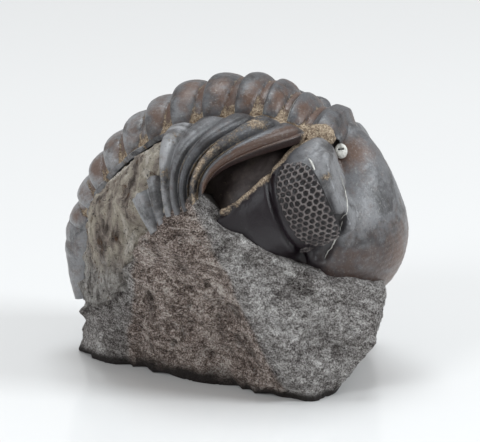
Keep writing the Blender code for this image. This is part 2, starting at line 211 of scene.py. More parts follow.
@dataclass
class Skin:
    """Closed surface: points in millimetres, faces, and values at the points."""

    points: np.ndarray
    quads: np.ndarray
    triangles: np.ndarray = field(default_factory=lambda: np.zeros((0, 3), int))
    values: dict[str, np.ndarray] = field(default_factory=dict)

    def all_triangles(self) -> np.ndarray:
        """Every face as triangles, a quad giving two."""
        q = self.quads
        return np.concatenate([q[:, [0, 1, 2]], q[:, [0, 2, 3]], self.triangles])

    def facing_out(self) -> "Skin":
        """Turns the faces round if the surface encloses a negative volume.

        Returns:
            The same surface.
        """
        a, b, c = np.moveaxis(self.points[self.all_triangles()], 1, 0)
        if np.einsum("ij,ij->i", a, np.cross(b, c)).sum() < 0:
            self.quads = self.quads[:, ::-1]
            self.triangles = self.triangles[:, ::-1]
        return self

    def to_object(self, name: str, finish: bpy.types.Material, slot: Slot,
                  stands_for: tuple[str, ...] = (), sharp: float = 60.0) -> bpy.types.Object:
        """Makes the mesh, its point attributes and its object.

        Args:
            name: The piece's name.
            finish: Its material.
            slot: The record's slot for the piece's finish; not used.
            stands_for: CAD nodes that it replaces.
            sharp: Edges bent by more than this many degrees stay crisp.

        Returns:
            The piece, riding on the root body.
        """
        mesh = bpy.data.meshes.new(name)
        corners = np.concatenate([self.quads.ravel(), self.triangles.ravel()])
        sizes = np.concatenate([np.full(len(self.quads), 4), np.full(len(self.triangles), 3)])
        mesh.vertices.add(len(self.points))
        mesh.vertices.foreach_set("co", (self.points * MM).astype(np.float32).ravel())
        mesh.loops.add(len(corners))
        mesh.loops.foreach_set("vertex_index", corners.astype(np.int32))
        mesh.polygons.add(len(sizes))
        mesh.polygons.foreach_set("loop_start", (np.cumsum(sizes) - sizes).astype(np.int32))
        for key, value in self.values.items():
            layer = mesh.attributes.new(key, "FLOAT", "POINT")
            layer.data.foreach_set("value", value.astype(np.float32).ravel())
        mesh.update(calc_edges=True)
        mesh.validate()
        mesh.shade_smooth()
        mesh.set_sharp_from_angle(angle=np.radians(sharp))
        mesh.materials.append(finish)
        piece = placed(name, mesh)
        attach(piece, "root")
        if stands_for:
            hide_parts(*stands_for)
        log.info("%s: %d triangles", name, len(self.all_triangles()))
        return piece


def placed(name: str, data: bpy.types.ID) -> bpy.types.Object:
    """Adds an object to the scene.

    Args:
        name: Its name.
        data: What it shows.

    Returns:
        The object, at the origin.
    """
    obj = bpy.data.objects.new(name, data)
    bpy.context.scene.collection.objects.link(obj)
    return obj


def sheet_quads(rows: int, columns: int, wrap: bool = False) -> np.ndarray:
    """Quads of a grid of points stored row by row.

    Args:
        rows: Number of rows.
        columns: Points in a row.
        wrap: Whether the last column joins the first.

    Returns:
        Four point numbers a face.
    """
    i = np.arange(rows - 1)[:, None]
    j = np.arange(columns if wrap else columns - 1)[None, :]
    k = (j + 1) % columns
    top, bottom = i * columns, (i + 1) * columns
    return np.stack([top + j, top + k, bottom + k, bottom + j], -1).reshape(-1, 4)


def slab(outer: np.ndarray, inner: np.ndarray, values: dict[str, np.ndarray] | None = None) -> Skin:
    """Closes two grids of one shape into a wall, joined all round their rims.

    Args:
        outer: Rows by columns by three, the outer side.
        inner: The same grid on the inner side.
        values: Values at the outer points, which the inner ones share.

    Returns:
        The closed wall.
    """
    rows, columns = outer.shape[:2]
    around = np.concatenate([outer, inner[:, ::-1]], axis=1)
    quads = [sheet_quads(rows, 2 * columns, wrap=True)]
    for row, turn in ((0, -1), (rows - 1, 1)):
        j = np.arange(columns - 1)
        start = row * 2 * columns
        back = start + 2 * columns - 1 - j
        end = np.stack([start + j, start + j + 1, back - 1, back], -1)
        quads.append(end[:, ::turn] if turn < 0 else end)
    both = {key: np.concatenate([v, v[:, ::-1]], axis=1).ravel() for key, v in (values or {}).items()}
    return Skin(around.reshape(-1, 3), np.concatenate(quads), values=both).facing_out()


def ball(grid: np.ndarray, values: dict[str, np.ndarray] | None = None) -> Skin:
    """Closes a grid that runs round from pole to pole.

    Args:
        grid: Rows by columns by three; the first and last rows are the poles.
        values: Values at the grid's points.

    Returns:
        Closed surface with one point at each pole.
    """
    rows, columns = grid.shape[:2]
    inner = grid[1:-1].reshape(-1, 3)
    points = np.vstack([inner, grid[0].mean(axis=0), grid[-1].mean(axis=0)])
    j = np.arange(columns)
    k = (j + 1) % columns
    last = (rows - 3) * columns
    top = np.stack([k, j, np.full(columns, len(inner))], -1)
    bottom = np.stack([last + j, last + k, np.full(columns, len(inner) + 1)], -1)
    kept = {
        key: np.append(v[1:-1].ravel(), [v[0].mean(), v[-1].mean()]) for key, v in (values or {}).items()}
    quads = sheet_quads(rows - 2, columns, wrap=True)
    return Skin(points, quads, np.concatenate([top, bottom]), kept).facing_out()


def joined(skins: list[Skin]) -> Skin:
    """Puts several closed surfaces into one piece.

    Args:
        skins: Surfaces that hold the same values.

    Returns:
        One surface with all their points and faces.
    """
    starts = np.cumsum([0] + [len(s.points) for s in skins[:-1]])
    return Skin(
        np.vstack([s.points for s in skins]),
        np.vstack([s.quads + start for s, start in zip(skins, starts)]),
        np.vstack([s.triangles + start for s, start in zip(skins, starts)]),
        {key: np.concatenate([s.values[key] for s in skins]) for key in skins[0].values},
    )


def sphere_rays(lat: np.ndarray, columns: int) -> np.ndarray:
    """Directions in rings round the Z axis.

    Args:
        lat: Angle from +Z of each ring.
        columns: Even steps round a ring.

    Returns:
        Unit vectors, rings by columns by three.
    """
    lat = lat[:, None]
    lon = np.linspace(0, 2 * np.pi, columns, endpoint=False)[None, :]
    return np.stack([np.sin(lat) * np.cos(lon), np.sin(lat) * np.sin(lon), np.cos(lat) + 0 * lon], -1)


def grid_normals(grid: np.ndarray, wrap: bool = False) -> np.ndarray:
    """Unit normals of a grid, from the cross product of its two slopes.

    Args:
        grid: Rows by columns by three.
        wrap: Whether the columns run round.

    Returns:
        One normal a point.
    """
    down = np.gradient(grid, axis=0)
    if wrap:
        over = (np.roll(grid, -1, axis=1) - np.roll(grid, 1, axis=1)) / 2
    else:
        over = np.gradient(grid, axis=1)
    return unit(np.cross(over, down))


# ---------------------------------------------------------------- finishes


class Graph:
    """Node tree of one material, built by short calls that return sockets."""

    def __init__(self, name: str, roughness: float, specular: float = 0.5) -> None:
        """Starts a Principled material with plain roughness and specular level."""
        self.material = bpy.data.materials.new(name)
        self.material.use_nodes = True
        self.tree = self.material.node_tree
        self.shader = self.tree.nodes["Principled BSDF"]
        self.shader.inputs["Roughness"].default_value = roughness
        self.shader.inputs["Specular IOR Level"].default_value = specular
        self.place = self.tree.nodes.new("ShaderNodeTexCoord").outputs["Object"]

    def _feed(self, socket: Socket, value: object) -> None:
        """Links a socket, or sets a value on it; a tuple is a display tone."""
        if isinstance(value, Socket):
            self.tree.links.new(value, socket)
        else:
            socket.default_value = srgb(*value) if isinstance(value, tuple) else value

    def _node(self, kind: str, output: str | int, inputs: dict[str | int, object],
              **settings: object) -> Socket:
        """Adds a shader node.

        Args:
            kind: Its type, less the words ShaderNode.
            output: Which output to return.
            inputs: Links or values for its inputs.
            settings: The node's own options.

        Returns:
            The output's socket.
        """
        node = self.tree.nodes.new("ShaderNode" + kind)
        for key, value in settings.items():
            setattr(node, key, value)
        for key, value in inputs.items():
            self._feed(node.inputs[key], value)
        return node.outputs[output]

    def stretched(self, factors: Point, turn: Point = (0, 0, 0)) -> Socket:
        """Object coordinates turned by radians and scaled along each axis."""
        inputs = {"Vector": self.place, "Scale": Vector(factors), "Rotation": Vector(turn)}
        return self._node("Mapping", "Vector", inputs)

    def noise(self, size: float, detail: float = 4.0, rough: float = 0.55, twist: float = 0.0,
              place: Socket | None = None) -> Socket:
        """Adds fractal noise.

        Args:
            size: Width of its coarsest lumps in millimetres.
            detail: Number of finer layers.
            rough: Strength of each finer layer.
            twist: Distortion of the pattern.
            place: Coordinates, the object's own if none.

        Returns:
            Its 0 to 1 output.
        """
        return self._node("TexNoise", "Fac", {
            "Vector": place or self.place, "Scale": 1 / (size * MM), "Detail": detail,
            "Roughness": rough, "Distortion": twist})

    def value(self, name: str) -> Socket:
        """The mesh's own point value of that name."""
        return self._node("Attribute", "Fac", {}, attribute_name=name)

    def ramp(self, source: Socket, stops: Iterable[tuple[float, Tone]]) -> Socket:
        """Turns a value into a colour.

        Args:
            source: The value.
            stops: Places from 0 to 1, each with its display tone.

        Returns:
            The colour.
        """
        colour = self._node("ValToRGB", "Color", {"Fac": source})
        steps = colour.node.color_ramp.elements
        stops = list(stops)
        while len(steps) < len(stops):
            steps.new(0.5)
        for step, (at, tone) in zip(steps, stops):
            step.position = at
            step.color = srgb(*tone)
        return colour

    def step(self, source: Socket, first: float, last: float) -> Socket:
        """Smooth step of a value.

        Args:
            source: The value.
            first: Where it leaves 0.
            last: Where it reaches 1, below first for a step that falls.

        Returns:
            0 to 1.
        """
        ends = (0.0, 1.0) if last > first else (1.0, 0.0)
        return self._node("MapRange", "Result", {
            "Value": source, "From Min": min(first, last), "From Max": max(first, last),
            "To Min": ends[0], "To Max": ends[1]}, interpolation_type="SMOOTHSTEP")

    def mix(self, share: object, first: object, second: object) -> Socket:
        """Mixes two colours.

        Args:
            share: Share of the second.
            first: First colour or display tone.
            second: Second colour or display tone.

        Returns:
            The mixed colour.
        """
        share_input, first_input, second_input, colour_output = 0, 6, 7, 2
        inputs = {share_input: share, first_input: first, second_input: second}
        return self._node("Mix", colour_output, inputs, data_type="RGBA")

    def sum(self, first: object, second: object) -> Socket:
        """Adds two values."""
        return self._node("Math", 0, {0: first, 1: second}, operation="ADD")

    def times(self, first: object, second: object) -> Socket:
        """Multiplies two values."""
        return self._node("Math", 0, {0: first, 1: second}, operation="MULTIPLY")

    def rest(self, value: object) -> Socket:
        """What a value leaves of 1."""
        return self._node("Math", 0, {0: 1.0, 1: value}, operation="SUBTRACT")

    def bump(self, height: Socket, depth: float, under: Socket | None = None) -> Socket:
        """Relief of the shading by a height of depth millimetres, over another if given."""
        inputs = {"Height": height, "Distance": depth * MM} | ({"Normal": under} if under else {})
        return self._node("Bump", "Normal", inputs)

    def finish(self, colour: object, normal: Socket | None = None,
               roughness: Socket | None = None) -> bpy.types.Material:
        """Connects colour, relief and roughness to the shader.

        Args:
            colour: Base colour socket or value.
            normal: Relief, if any.
            roughness: Varying roughness, if any.

        Returns:
            The finished material.
        """
        self._feed(self.shader.inputs["Base Color"], colour)
        if normal:
            self._feed(self.shader.inputs["Normal"], normal)
        if roughness:
            self._feed(self.shader.inputs["Roughness"], roughness)
        return self.material


@dataclass(frozen=True)
class CuticleFinish:
    """Blue-grey calcite cuticle with brown clouds, pale scuffs, caught sediment and painted shade in its
    furrows.
    """

    name: str = "cuticle"
    front: Tone = (68, 69, 73)
    rear: Tone = (146, 146, 148)
    deep: Tone = (36, 32, 32)
    brown: Tone = (94, 68, 53)
    # dark tone of the cheek, also laid on as painted shade in furrows, the eye's trench and the glabella's
    # low front
    cheek: Tone = (19, 9, 17)
    sand: Tone = (158, 138, 116)
    pale: Tone = (184, 184, 176)
    roughness: float = 0.36

    def build(self) -> bpy.types.Material:
        """Makes the material.

        The point values say where cheek darkness and painted shade (both in the
        value cheek), brown cloud, sediment and scuffed edges lie, and noise breaks
        up their borders.

        Returns:
            The material.
        """
        g = Graph(self.name, self.roughness, 0.5)
        cloud = g.noise(3.2, 5.0, 0.62, 0.6)
        body = g.mix(g.value("rear"), self.front, self.rear)
        colour = g.mix(g.times(g.step(cloud, 0.55, 0.34), 0.75), body, self.deep)
        tint = g.step(g.sum(g.noise(1.6, 6.0, 0.74), g.times(g.value("brown"), 0.34)), 0.5, 0.92)
        colour = g.mix(g.times(tint, 0.85), colour, self.brown)
        # value cheek: the dark cheek plus painted shade in furrows, under the eye's lobe and on the
        # glabella's low front
        colour = g.mix(g.value("cheek"), colour, self.cheek)
        speck = g.noise(0.3, 4.0, 0.75)
        colour = g.mix(g.times(g.step(speck, 0.44, 0.34), 0.45), colour, self.deep)
        light = g.times(g.step(speck, 0.56, 0.68), g.rest(g.value("cheek")))
        colour = g.mix(g.times(light, 0.3), colour, self.pale)
        scuff = g.step(g.sum(g.value("edge"), g.times(g.noise(0.6, 4.0, 0.75), 0.9)), 0.96, 1.2)
        colour = g.mix(g.times(scuff, 0.85), colour, self.pale)
        patchy = g.sum(g.noise(0.4, 4.0, 0.8), g.times(g.noise(1.8, 3.0, 0.6), 0.8))
        cover = g.step(g.sum(g.value("sediment"), patchy), 1.2, 1.55)
        sand = g.ramp(g.noise(0.22, 4.0, 0.78), [
            (0.36, (74, 58, 48)), (0.5, self.sand), (0.64, (206, 190, 166))])
        colour = g.mix(cover, colour, sand)
        relief = g.bump(g.noise(0.22, 3.0, 0.7), 0.05)
        relief = g.bump(g.times(cover, g.noise(0.25, 3.0, 0.8)), 0.25, relief)
        gloss = g.sum(self.roughness - 0.12, g.times(g.noise(1.6, 4.0, 0.7), 0.2))
        return g.finish(colour, relief, g.sum(gloss, g.times(cover, 0.45)))


@dataclass(frozen=True)
class RockFinish:
    """Grey-brown limestone with fibrous streaks, dark clots and pale crystals."""

    name: str = "limestone_rock"
    brown: tuple[Tone, ...] = (
        (44, 35, 32), (108, 93, 85), (152, 135, 126), (200, 185, 176), (244, 238, 230))
    grey: tuple[Tone, ...] = (
        (56, 50, 48), (118, 112, 109), (158, 153, 150), (194, 190, 187), (242, 240, 237))
    stops: tuple[float, ...] = (0.40, 0.46, 0.50, 0.54, 0.61)
    shade: Tone = (40, 34, 32)
    rust: Tone = (84, 58, 46)
    crystal: Tone = (236, 232, 226)
    hollow: Tone = (58, 51, 49)

    def build(self) -> bpy.types.Material:
        """Makes the material: the value "grey" moves it from the brown to the grey face, and the value "dark"
        lays on painted shade.
        """
        g = Graph(self.name, 0.8, 0.3)
        along = g.stretched((0.7, 1.0, 1.25), (0.15, -0.55, 0.25))
        fibre = g.sum(g.noise(0.2, 2.0, 0.8), g.noise(0.8, 5.0, 0.75, 0.6, along))
        clump = g.noise(3.8, 6.0, 0.64, 0.6)
        grain = g.sum(g.times(fibre, 0.4), g.times(clump, 0.2))
        brown = g.ramp(grain, zip(self.stops, self.brown))
        grey = g.ramp(grain, zip(self.stops, self.grey))
        colour = g.mix(g.value("grey"), brown, grey)
        rusty = g.times(g.step(g.noise(1.7, 5.0, 0.75, 0.5), 0.58, 0.7), g.rest(g.value("grey")))
        colour = g.mix(g.times(rusty, 0.5), colour, self.rust)
        spark = g.times(g.step(g.noise(0.26, 3.0, 0.7), 0.6, 0.7), 0.5)
        colour = g.mix(spark, colour, self.crystal)
        colour = g.mix(g.value("dark"), colour, self.shade)
        pit = g.step(g.noise(0.42, 4.0, 0.8), 0.42, 0.33)
        colour = g.mix(g.times(pit, 0.6), colour, self.shade)
        # dark tone of the rock inside the hollow, partly painted shade
        colour = g.mix(g.value("hollow"), colour, self.hollow)
        relief = g.bump(grain, 0.9)
        relief = g.bump(g.noise(0.22, 4.0, 0.85), 0.3, relief)
        return g.finish(colour, relief)


@dataclass(frozen=True)
class MouldFinish:
    """Rock that filled the body: olive, brown and grey with pale streaks, and painted shadow in its crack."""

    name: str = "mould_rock"

    def build(self) -> bpy.types.Material:
        """Makes the material."""
        g = Graph(self.name, 0.62, 0.4)
        along = g.stretched((1.7, 1.0, 0.5), (0, 0.2, 0))
        cloud = g.noise(3.4, 5.0, 0.62, 0.8, along)
        olive = g.ramp(cloud, [
            (0.34, (84, 73, 66)), (0.45, (156, 144, 134)), (0.55, (188, 178, 162)),
            (0.66, (222, 214, 204))])
        grey = g.ramp(g.noise(1.4, 5.0, 0.75, 0.6, along), [
            (0.34, (72, 66, 63)), (0.46, (142, 136, 131)), (0.56, (186, 182, 177)),
            (0.66, (230, 228, 224))])
        colour = g.mix(g.value("grey"), olive, grey)
        colour = g.mix(g.step(g.noise(1.4, 4.0, 0.7, 0.4, along), 0.56, 0.7), colour, (92, 66, 46))
        colour = g.mix(g.step(g.noise(0.8, 5.0, 0.78, 0.8, along), 0.59, 0.71), colour, (182, 176, 160))
        colour = g.mix(g.step(g.noise(0.5, 4.0, 0.78), 0.43, 0.34), colour, (46, 41, 37))
        # painted shadow in the crack along the broken plates
        colour = g.mix(g.value("dark"), colour, (9, 8, 8))
        relief = g.bump(g.noise(0.9, 6.0, 0.75, 0.5, along), 0.7)
        relief = g.bump(g.noise(0.25, 3.0, 0.75), 0.2, relief)
        return g.finish(colour, relief)


@dataclass(frozen=True)
class HollowFinish:
    """Dark brown-black polished rock in the hollow, its dark partly painted shade of the hollow, clouded with
    olive.
    """

    name: str = "hollow_rock"

    def build(self) -> bpy.types.Material:
        """Makes the material."""
        g = Graph(self.name, 0.5, 0.4)
        cloud = g.noise(3.0, 4.0, 0.6, 0.4)
        colour = g.ramp(cloud, [(0.35, (50, 43, 42)), (0.55, (80, 71, 69)), (0.75, (112, 102, 90))])
        colour = g.mix(g.step(g.noise(0.3, 2.0, 0.7), 0.66, 0.74), colour, (126, 116, 100))
        return g.finish(colour, g.bump(g.noise(0.5, 3.0, 0.6), 0.08))


@dataclass(frozen=True)
class LensFinish:
    """Dark lens pits in a mesh of worn grey-brown rims."""

    name: str = "eye_lenses"

    def build(self) -> bpy.types.Material:
        """Makes the material: the value "rim" is 0 in a pit and 1 on its rim."""
        g = Graph(self.name, 0.36, 0.5)
        worn = g.sum(g.value("rim"), g.times(g.noise(0.5, 4.0, 0.75), 0.75))
        worn = g.sum(worn, -0.25)
        colour = g.ramp(worn, [
            (0.14, (20, 16, 18)), (0.5, (44, 38, 39)), (0.85, (80, 72, 71)),
            (1.0, (108, 101, 99))])
        return g.finish(colour, g.bump(g.noise(0.14, 3.0, 0.75), 0.04))


@dataclass(frozen=True)
class CalciteFinish:
    """White calcite, slightly waxy."""

    name: str = "white_calcite"

    def build(self) -> bpy.types.Material:
        """Makes the material."""
        g = Graph(self.name, 0.45, 0.5)
        colour = g.ramp(g.noise(0.4, 3.0, 0.6), [(0.3, (168, 166, 160)), (0.6, (222, 221, 214))])
        # painted shade in the ossicle's slot, from the value dark
        colour = g.mix(g.value("dark"), colour, (44, 42, 42))
        return g.finish(colour, g.bump(g.noise(0.15, 2.0, 0.6), 0.02))


# ---------------------------------------------------------------- the body


@dataclass
class BodySheet:
    """Arched sheet that carries every plate of the thorax and tail.

    Four curves in the sagittal plane carry it, numbered by segment: the crest
    of the axis, the axial furrow, the outward bulge of the pleurae and their
    tips. The first number is t, and v runs across from -1 (right tip) to 1.
    """

    stations: tuple[float, ...] = (0, 3, 6, 9, 12, 14, 16)
    crest: tuple[tuple[float, float], ...] = (
        (13.3, 31.9), (3.8, 35.5), (-8.4, 32.6), (-17.0, 25.1), (-20.8, 15.0), (-20.8, 10.0), (-19.6, 5.2))
    furrow: tuple[tuple[float, float], ...] = (
        (12.6, 30.2), (3.8, 32.0), (-7.2, 28.9), (-14.6, 22.4), (-16.9, 15.2), (-17.7, 10.2), (-18.2, 6.0))
    bulge: tuple[tuple[float, float], ...] = (
        (2.0, 28.8), (-3.8, 28.2), (-4.2, 27.5), (-11.3, 19.9), (-12.8, 14.0), (-14.4, 10.0), (-17.4, 6.4))
    tip: tuple[tuple[float, float], ...] = (
        (1.6, 24.8), (0.6, 20.6), (-3.2, 19.0), (-4.9, 16.9), (-2.6, 13.6), (-9.6, 10.2), (-15.8, 7.4))
    axis_half_width: tuple[float, ...] = (5.2, 5.3, 5.2, 4.9, 4.3, 3.4, 2.6)
    half_width: tuple[float, ...] = (15.4, 16.2, 15.8, 14.4, 12.4, 9.8, 5.8)
    furrow_v: float = 0.34

    def through(self, knots: tuple, t: np.ndarray) -> np.ndarray:
        """Cubic curve through knots placed at the stations.

        Args:
            knots: One number or one pair a station.
            t: Where to read it.

        Returns:
            Hermite cubic values whose slopes are the knots' own gradient.
        """
        at = np.array(self.stations, float)
        k = np.array(knots, float)
        slopes = np.gradient(k, at, axis=0)
        t = np.clip(np.asarray(t, float), at[0] - 1.0, at[-1])
        i = np.clip(np.searchsorted(at, t, side="right") - 1, 0, len(at) - 2)
        span = at[i + 1] - at[i]
        s = (t - at[i]) / span
        if k.ndim == 2:
            span = span[..., None]
            s = s[..., None]
        start = (2 * s**3 - 3 * s**2 + 1) * k[i] + (s**3 - 2 * s**2 + s) * span * slopes[i]
        end = (3 * s**2 - 2 * s**3) * k[i + 1] + (s**3 - s**2) * span * slopes[i + 1]
        return start + end

    def at(self, t: np.ndarray, v: np.ndarray) -> np.ndarray:
        """Points of the sheet.

        Inside the furrows it is an elliptical arch from furrow to crest. Outside
        them it swings out and down along a parabola from furrow by bulge to tip.

        Args:
            t: Segment numbers.
            v: Places across.

        Returns:
            Places in millimetres.
        """
        t, v = np.broadcast_arrays(np.asarray(t, float), np.asarray(v, float))
        reach = np.abs(v)
        furrow = self.through(self.furrow, t)
        axis = self.through(self.axis_half_width, t)
        half = self.through(self.half_width, t)
        arch = np.clip(reach / self.furrow_v, 0, 1) * np.pi / 2
        swing = np.clip((reach - self.furrow_v) / (1 - self.furrow_v), 0, 1) * np.pi / 2
        inner = furrow + (self.through(self.crest, t) - furrow) * np.cos(arch)[..., None]
        d = (1 - np.cos(swing) ** 0.85)[..., None]
        outer = (1 - d) ** 2 * furrow + 2 * d * (1 - d) * self.through(self.bulge, t)
        outer = outer + d**2 * self.through(self.tip, t)
        inside = reach < self.furrow_v
        y = np.where(inside, axis * np.sin(arch), axis + (half - axis) * np.sin(swing)) * np.sign(v)
        xz = np.where(inside[..., None], inner, outer)
        return np.stack([xz[..., 0], y, xz[..., 1]], axis=-1)

    def slopes(self, t: np.ndarray, v: np.ndarray) -> tuple[np.ndarray, np.ndarray, np.ndarray]:
        """How the sheet slopes.

        Args:
            t: Segment numbers.
            v: Places across.

        Returns:
            Outward normal, millimetres per segment, and millimetres per unit of v.
        """
        step = 0.01
        along = (self.at(t + step, v) - self.at(t - step, v)) / (2 * step)
        sideways = (self.at(t, v + step) - self.at(t, v - step)) / (2 * step)
        normal = unit(np.cross(sideways, along))
        return normal, np.linalg.norm(along, axis=-1), np.linalg.norm(sideways, axis=-1)

    def lifted(self, t: np.ndarray, v: np.ndarray, lift: np.ndarray | float) -> np.ndarray:
        """Points of the sheet moved out along its normal by lift millimetres."""
        t, v, lift = np.broadcast_arrays(*(np.asarray(each, float) for each in (t, v, lift)))
        return self.at(t, v) + self.slopes(t, v)[0] * lift[..., None]


@dataclass
class Thorax:
    """Eleven hinged segments and the tail shield, broken away on the near side."""

    sheet: BodySheet
    finish: bpy.types.Material
    segments: int = 11
    tail_end: float = 15.4
    wall: float = 0.85
    tail_wall: float = 0.6
    ring_rise: float = 0.92
    low_rise: float = 0.80
    sink: tuple[float, ...] = (0.8, 0.75, 0.4, 0.15, 0.15, 0.45, 0.65, 0.7, 0.7, 0.6, 0.5)
    half_ring_rise: float = 0.26
    ring_start: float = 0.25
    rib_rise: float = 1.0
    overlap: float = 0.06
    broken_v: float = -0.43
    buried_v: float = -0.955
    first_broken: int = 6
    lip_rise: float = 0.15
    stubs: dict[int, tuple[float, float]] = field(
        default_factory=lambda: {6: (-0.965, -0.79), 7: (-0.97, -0.82)})
    rows: int = 34
    columns: int = 250
    tail_rows: int = 150
    tail_columns: int = 150

    def ring_front(self, v: np.ndarray) -> tuple[np.ndarray, np.ndarray]:
        """Share of the way out to the furrow, and share of the segment at which its ring starts."""
        inside = np.clip(np.abs(v) / self.sheet.furrow_v, 0, 1)
        return inside, self.ring_start + 0.22 * inside**2

    def relief(self, s: np.ndarray, v: np.ndarray) -> np.ndarray:
        """Height of a segment's surface above the sheet.

        From front to rear the axis has a low half ring, a furrow and a broad
        ring that ends in a lip. Each pleura has a narrow front band, a pleural
        furrow and a broad rear band.

        Args:
            s: Share of the segment from front 0 to rear 1.
            v: Place across.

        Returns:
            Millimetres along the normal.
        """
        inside, start = self.ring_front(v)
        half_ring = self.half_ring_rise * np.sqrt(np.clip(1 - ((s - 0.1) / 0.2) ** 2, 0, 1))
        u = np.clip((s - start) / (1 - start), 0, 1)
        ring = self.ring_rise * np.sin(np.pi * u**1.4) ** 0.34 + 0.4 * u**3
        ring = np.where(s > start, ring, 0)
        across = (1 - inside**4) ** 0.6
        axis = np.maximum(half_ring * (1 - 0.5 * inside**2), ring) * across
        front = 0.22 * np.sqrt(np.clip(1 - ((s - 0.10) / 0.1) ** 2, 0, 1))
        w = np.clip((s - 0.2) / 0.8, 0, 1)
        rear = np.clip(1 - np.abs(2 * w - 0.98) ** 2.4, 0, 1) ** 0.55 + 0.16 * w**3
        rib = self.rib_rise * np.maximum(front, np.where(s > 0.2, rear, 0))
        grow = smooth_step(np.abs(v), self.sheet.furrow_v, self.sheet.furrow_v + 0.10)
        return axis + rib * grow * (1 - 0.5 * smooth_step(np.abs(v), 0.9, 1.0))

    def values(self, s: np.ndarray, v: np.ndarray, points: np.ndarray, number: int) -> dict[str, np.ndarray]:
        """Where the cuticle is brown, sandy, scuffed or darkened by painted shade.

        Args:
            s: Share of the segment from front to rear.
            v: Place across.
            points: Surface points in millimetres.
            number: The segment's number.

        Returns:
            Point values named for the finish that reads them.
        """
        reach = np.abs(v)
        lumps = Grain(1.6, 3, seed=5).at(points)
        clouds = Grain(2.6, 3, seed=6).at(points + 40.0 * number)
        near = smooth_step(-v, 0.36, 0.5)
        inside, start = self.ring_front(v)
        ahead = smooth_step(start - s, -0.04, 0.03) * smooth_step(inside, 0.45, 0.95) * (reach < 0.37)
        sand = 0.8 * hill(reach, self.sheet.furrow_v + 0.006, 0.03) + 0.6 * ahead
        sand = sand + 0.35 * hill(s - start, 0.0, 0.05) * (reach < 0.34)
        beside = smooth_step(reach, 0.33, 0.38) * (1 - smooth_step(reach, 0.42, 0.6))
        sand = sand + 0.45 * hill(s, 0.0, 0.12) * beside
        sand = sand + 0.5 * hill(s, 0.02, 0.07) * (reach > 0.4) * (number > 1)
        sand = sand + 0.2 * hill(s, 1.0, 0.05) * (reach > 0.4)
        if number == 2:
            sand = sand + 0.5 * near * hill(s, 0.5, 0.6)
        if number == 5:
            sand = sand + 0.2 * near
        sand = np.clip(sand + 0.3 * lumps * (sand > 0.1), 0, 1)
        brown = 1.2 * hill(s, 0.5, 0.3) * hill(reach, 0.18, 0.17) + 1.3 * (s < start) * (reach < 0.32)
        brown = brown * (0.8 + 0.8 * clouds)
        if number == 1:
            brown = brown + 1.2 * near * smooth_step(-s, -0.7, -0.4)
        edge = np.maximum(smooth_step(s, 0.93, 1.0), 0.55 * hill(s, 0.26, 0.03) * (reach > 0.4))
        rear = 0.15 + 0.85 * smooth_step(np.array(float(number)), 3.0, 8.5)
        rear = rear + near * (0.75 * (number == 5) + 0.25 * (number == 4))
        plain = 0 * lumps
        # painted shade: dark lines in the furrows ahead of and behind each ring and rib, carried in the value
        # cheek; the near pleurae of segments 1 to 4 are darkened a little too
        gap = 0.8 * (hill(s, 1.0, 0.05) + hill(s, 0.0, 0.05)) * (reach > 0.42)
        gap = gap + 0.8 * hill(s, 0.01, 0.07) * (reach < 0.33)
        gap = np.maximum(gap, 0.22 * near * (number < 5))
        return {"sediment": sand, "brown": brown + plain, "cheek": gap + plain,
                "edge": edge + plain, "rear": rear + plain}

    def broken_line(self, t: np.ndarray) -> np.ndarray:
        """Where the near pleurae broke off.

        Args:
            t: Segment numbers.

        Returns:
            Place across, made jagged along t by noise.
        """
        line = np.stack([t, 0 * t, 0 * t], -1)
        coarse = Grain(1.3, 2, seed=21).at(line)
        return self.broken_v + 0.035 * coarse + 0.03 * Grain(0.35, 3, 0.7, seed=24).at(line)

    def plate(self, number: int, first: float, last: float, v_first: float | None, v_last: float,
              jagged: float = 0.0) -> Skin:
        """One segment's wall.

        Args:
            number: The segment's number.
            first: Segment number at its front edge.
            last: Segment number at its rear edge.
            v_first: Its right end, or none for the broken line.
            v_last: Its left end.
            jagged: How far noise moves the left end, in v.

        Returns:
            The closed wall with its values.
        """
        start = self.broken_v if v_first is None else v_first
        columns = max(60, int(self.columns * (v_last - start) / 2))
        s, w = unit_grid(self.rows, columns)
        if v_first is None:
            start = self.broken_line(first + s * (last - first))
        line = np.stack([s + number, 0 * s, 0 * s], -1)
        end = v_last + jagged * Grain(0.6, 3, seed=22).at(line)
        v = start + (end - start) * w
        slim = 0.12 * smooth_step(np.abs(v), 0.45, 0.85)
        slim = slim + (0.16 * smooth_step(-v, 0.5, 0.7) if number in (2, 3) else 0.0)
        middle = (first + last) / 2
        t = middle + (s - 0.5) * (last - first + self.overlap) * (1 - slim)
        inside = self.ring_front(v)[0]
        lift = self.relief(s, v)
        if not 2 <= number <= 5:
            lift = lift * np.where(inside < 1, self.low_rise, 1.0)
        lift = lift - self.sink[number - 1] * (1 - inside**4)
        if v_first is None:
            lift = np.where((v < 0) & (inside == 1), self.lip_rise + 0.25 * lift, lift)
        points = self.sheet.lifted(t, v, lift)
        values = self.values(s, v, points, number)
        rough = 0.16 * values["sediment"] * Grain(0.5, 3, seed=32).at(points)
        rough = rough + 0.06 * Grain(1.8, 3, seed=31).at(points)
        normal = self.sheet.slopes(t, v)[0]
        outer = points + normal * rough[..., None]
        thick = self.wall * (0.3 + 0.7 * smooth_step(w, 0.0, 0.08) if v_first is None else 1.0)
        return slab(outer, self.sheet.lifted(t, v, -thick), values)

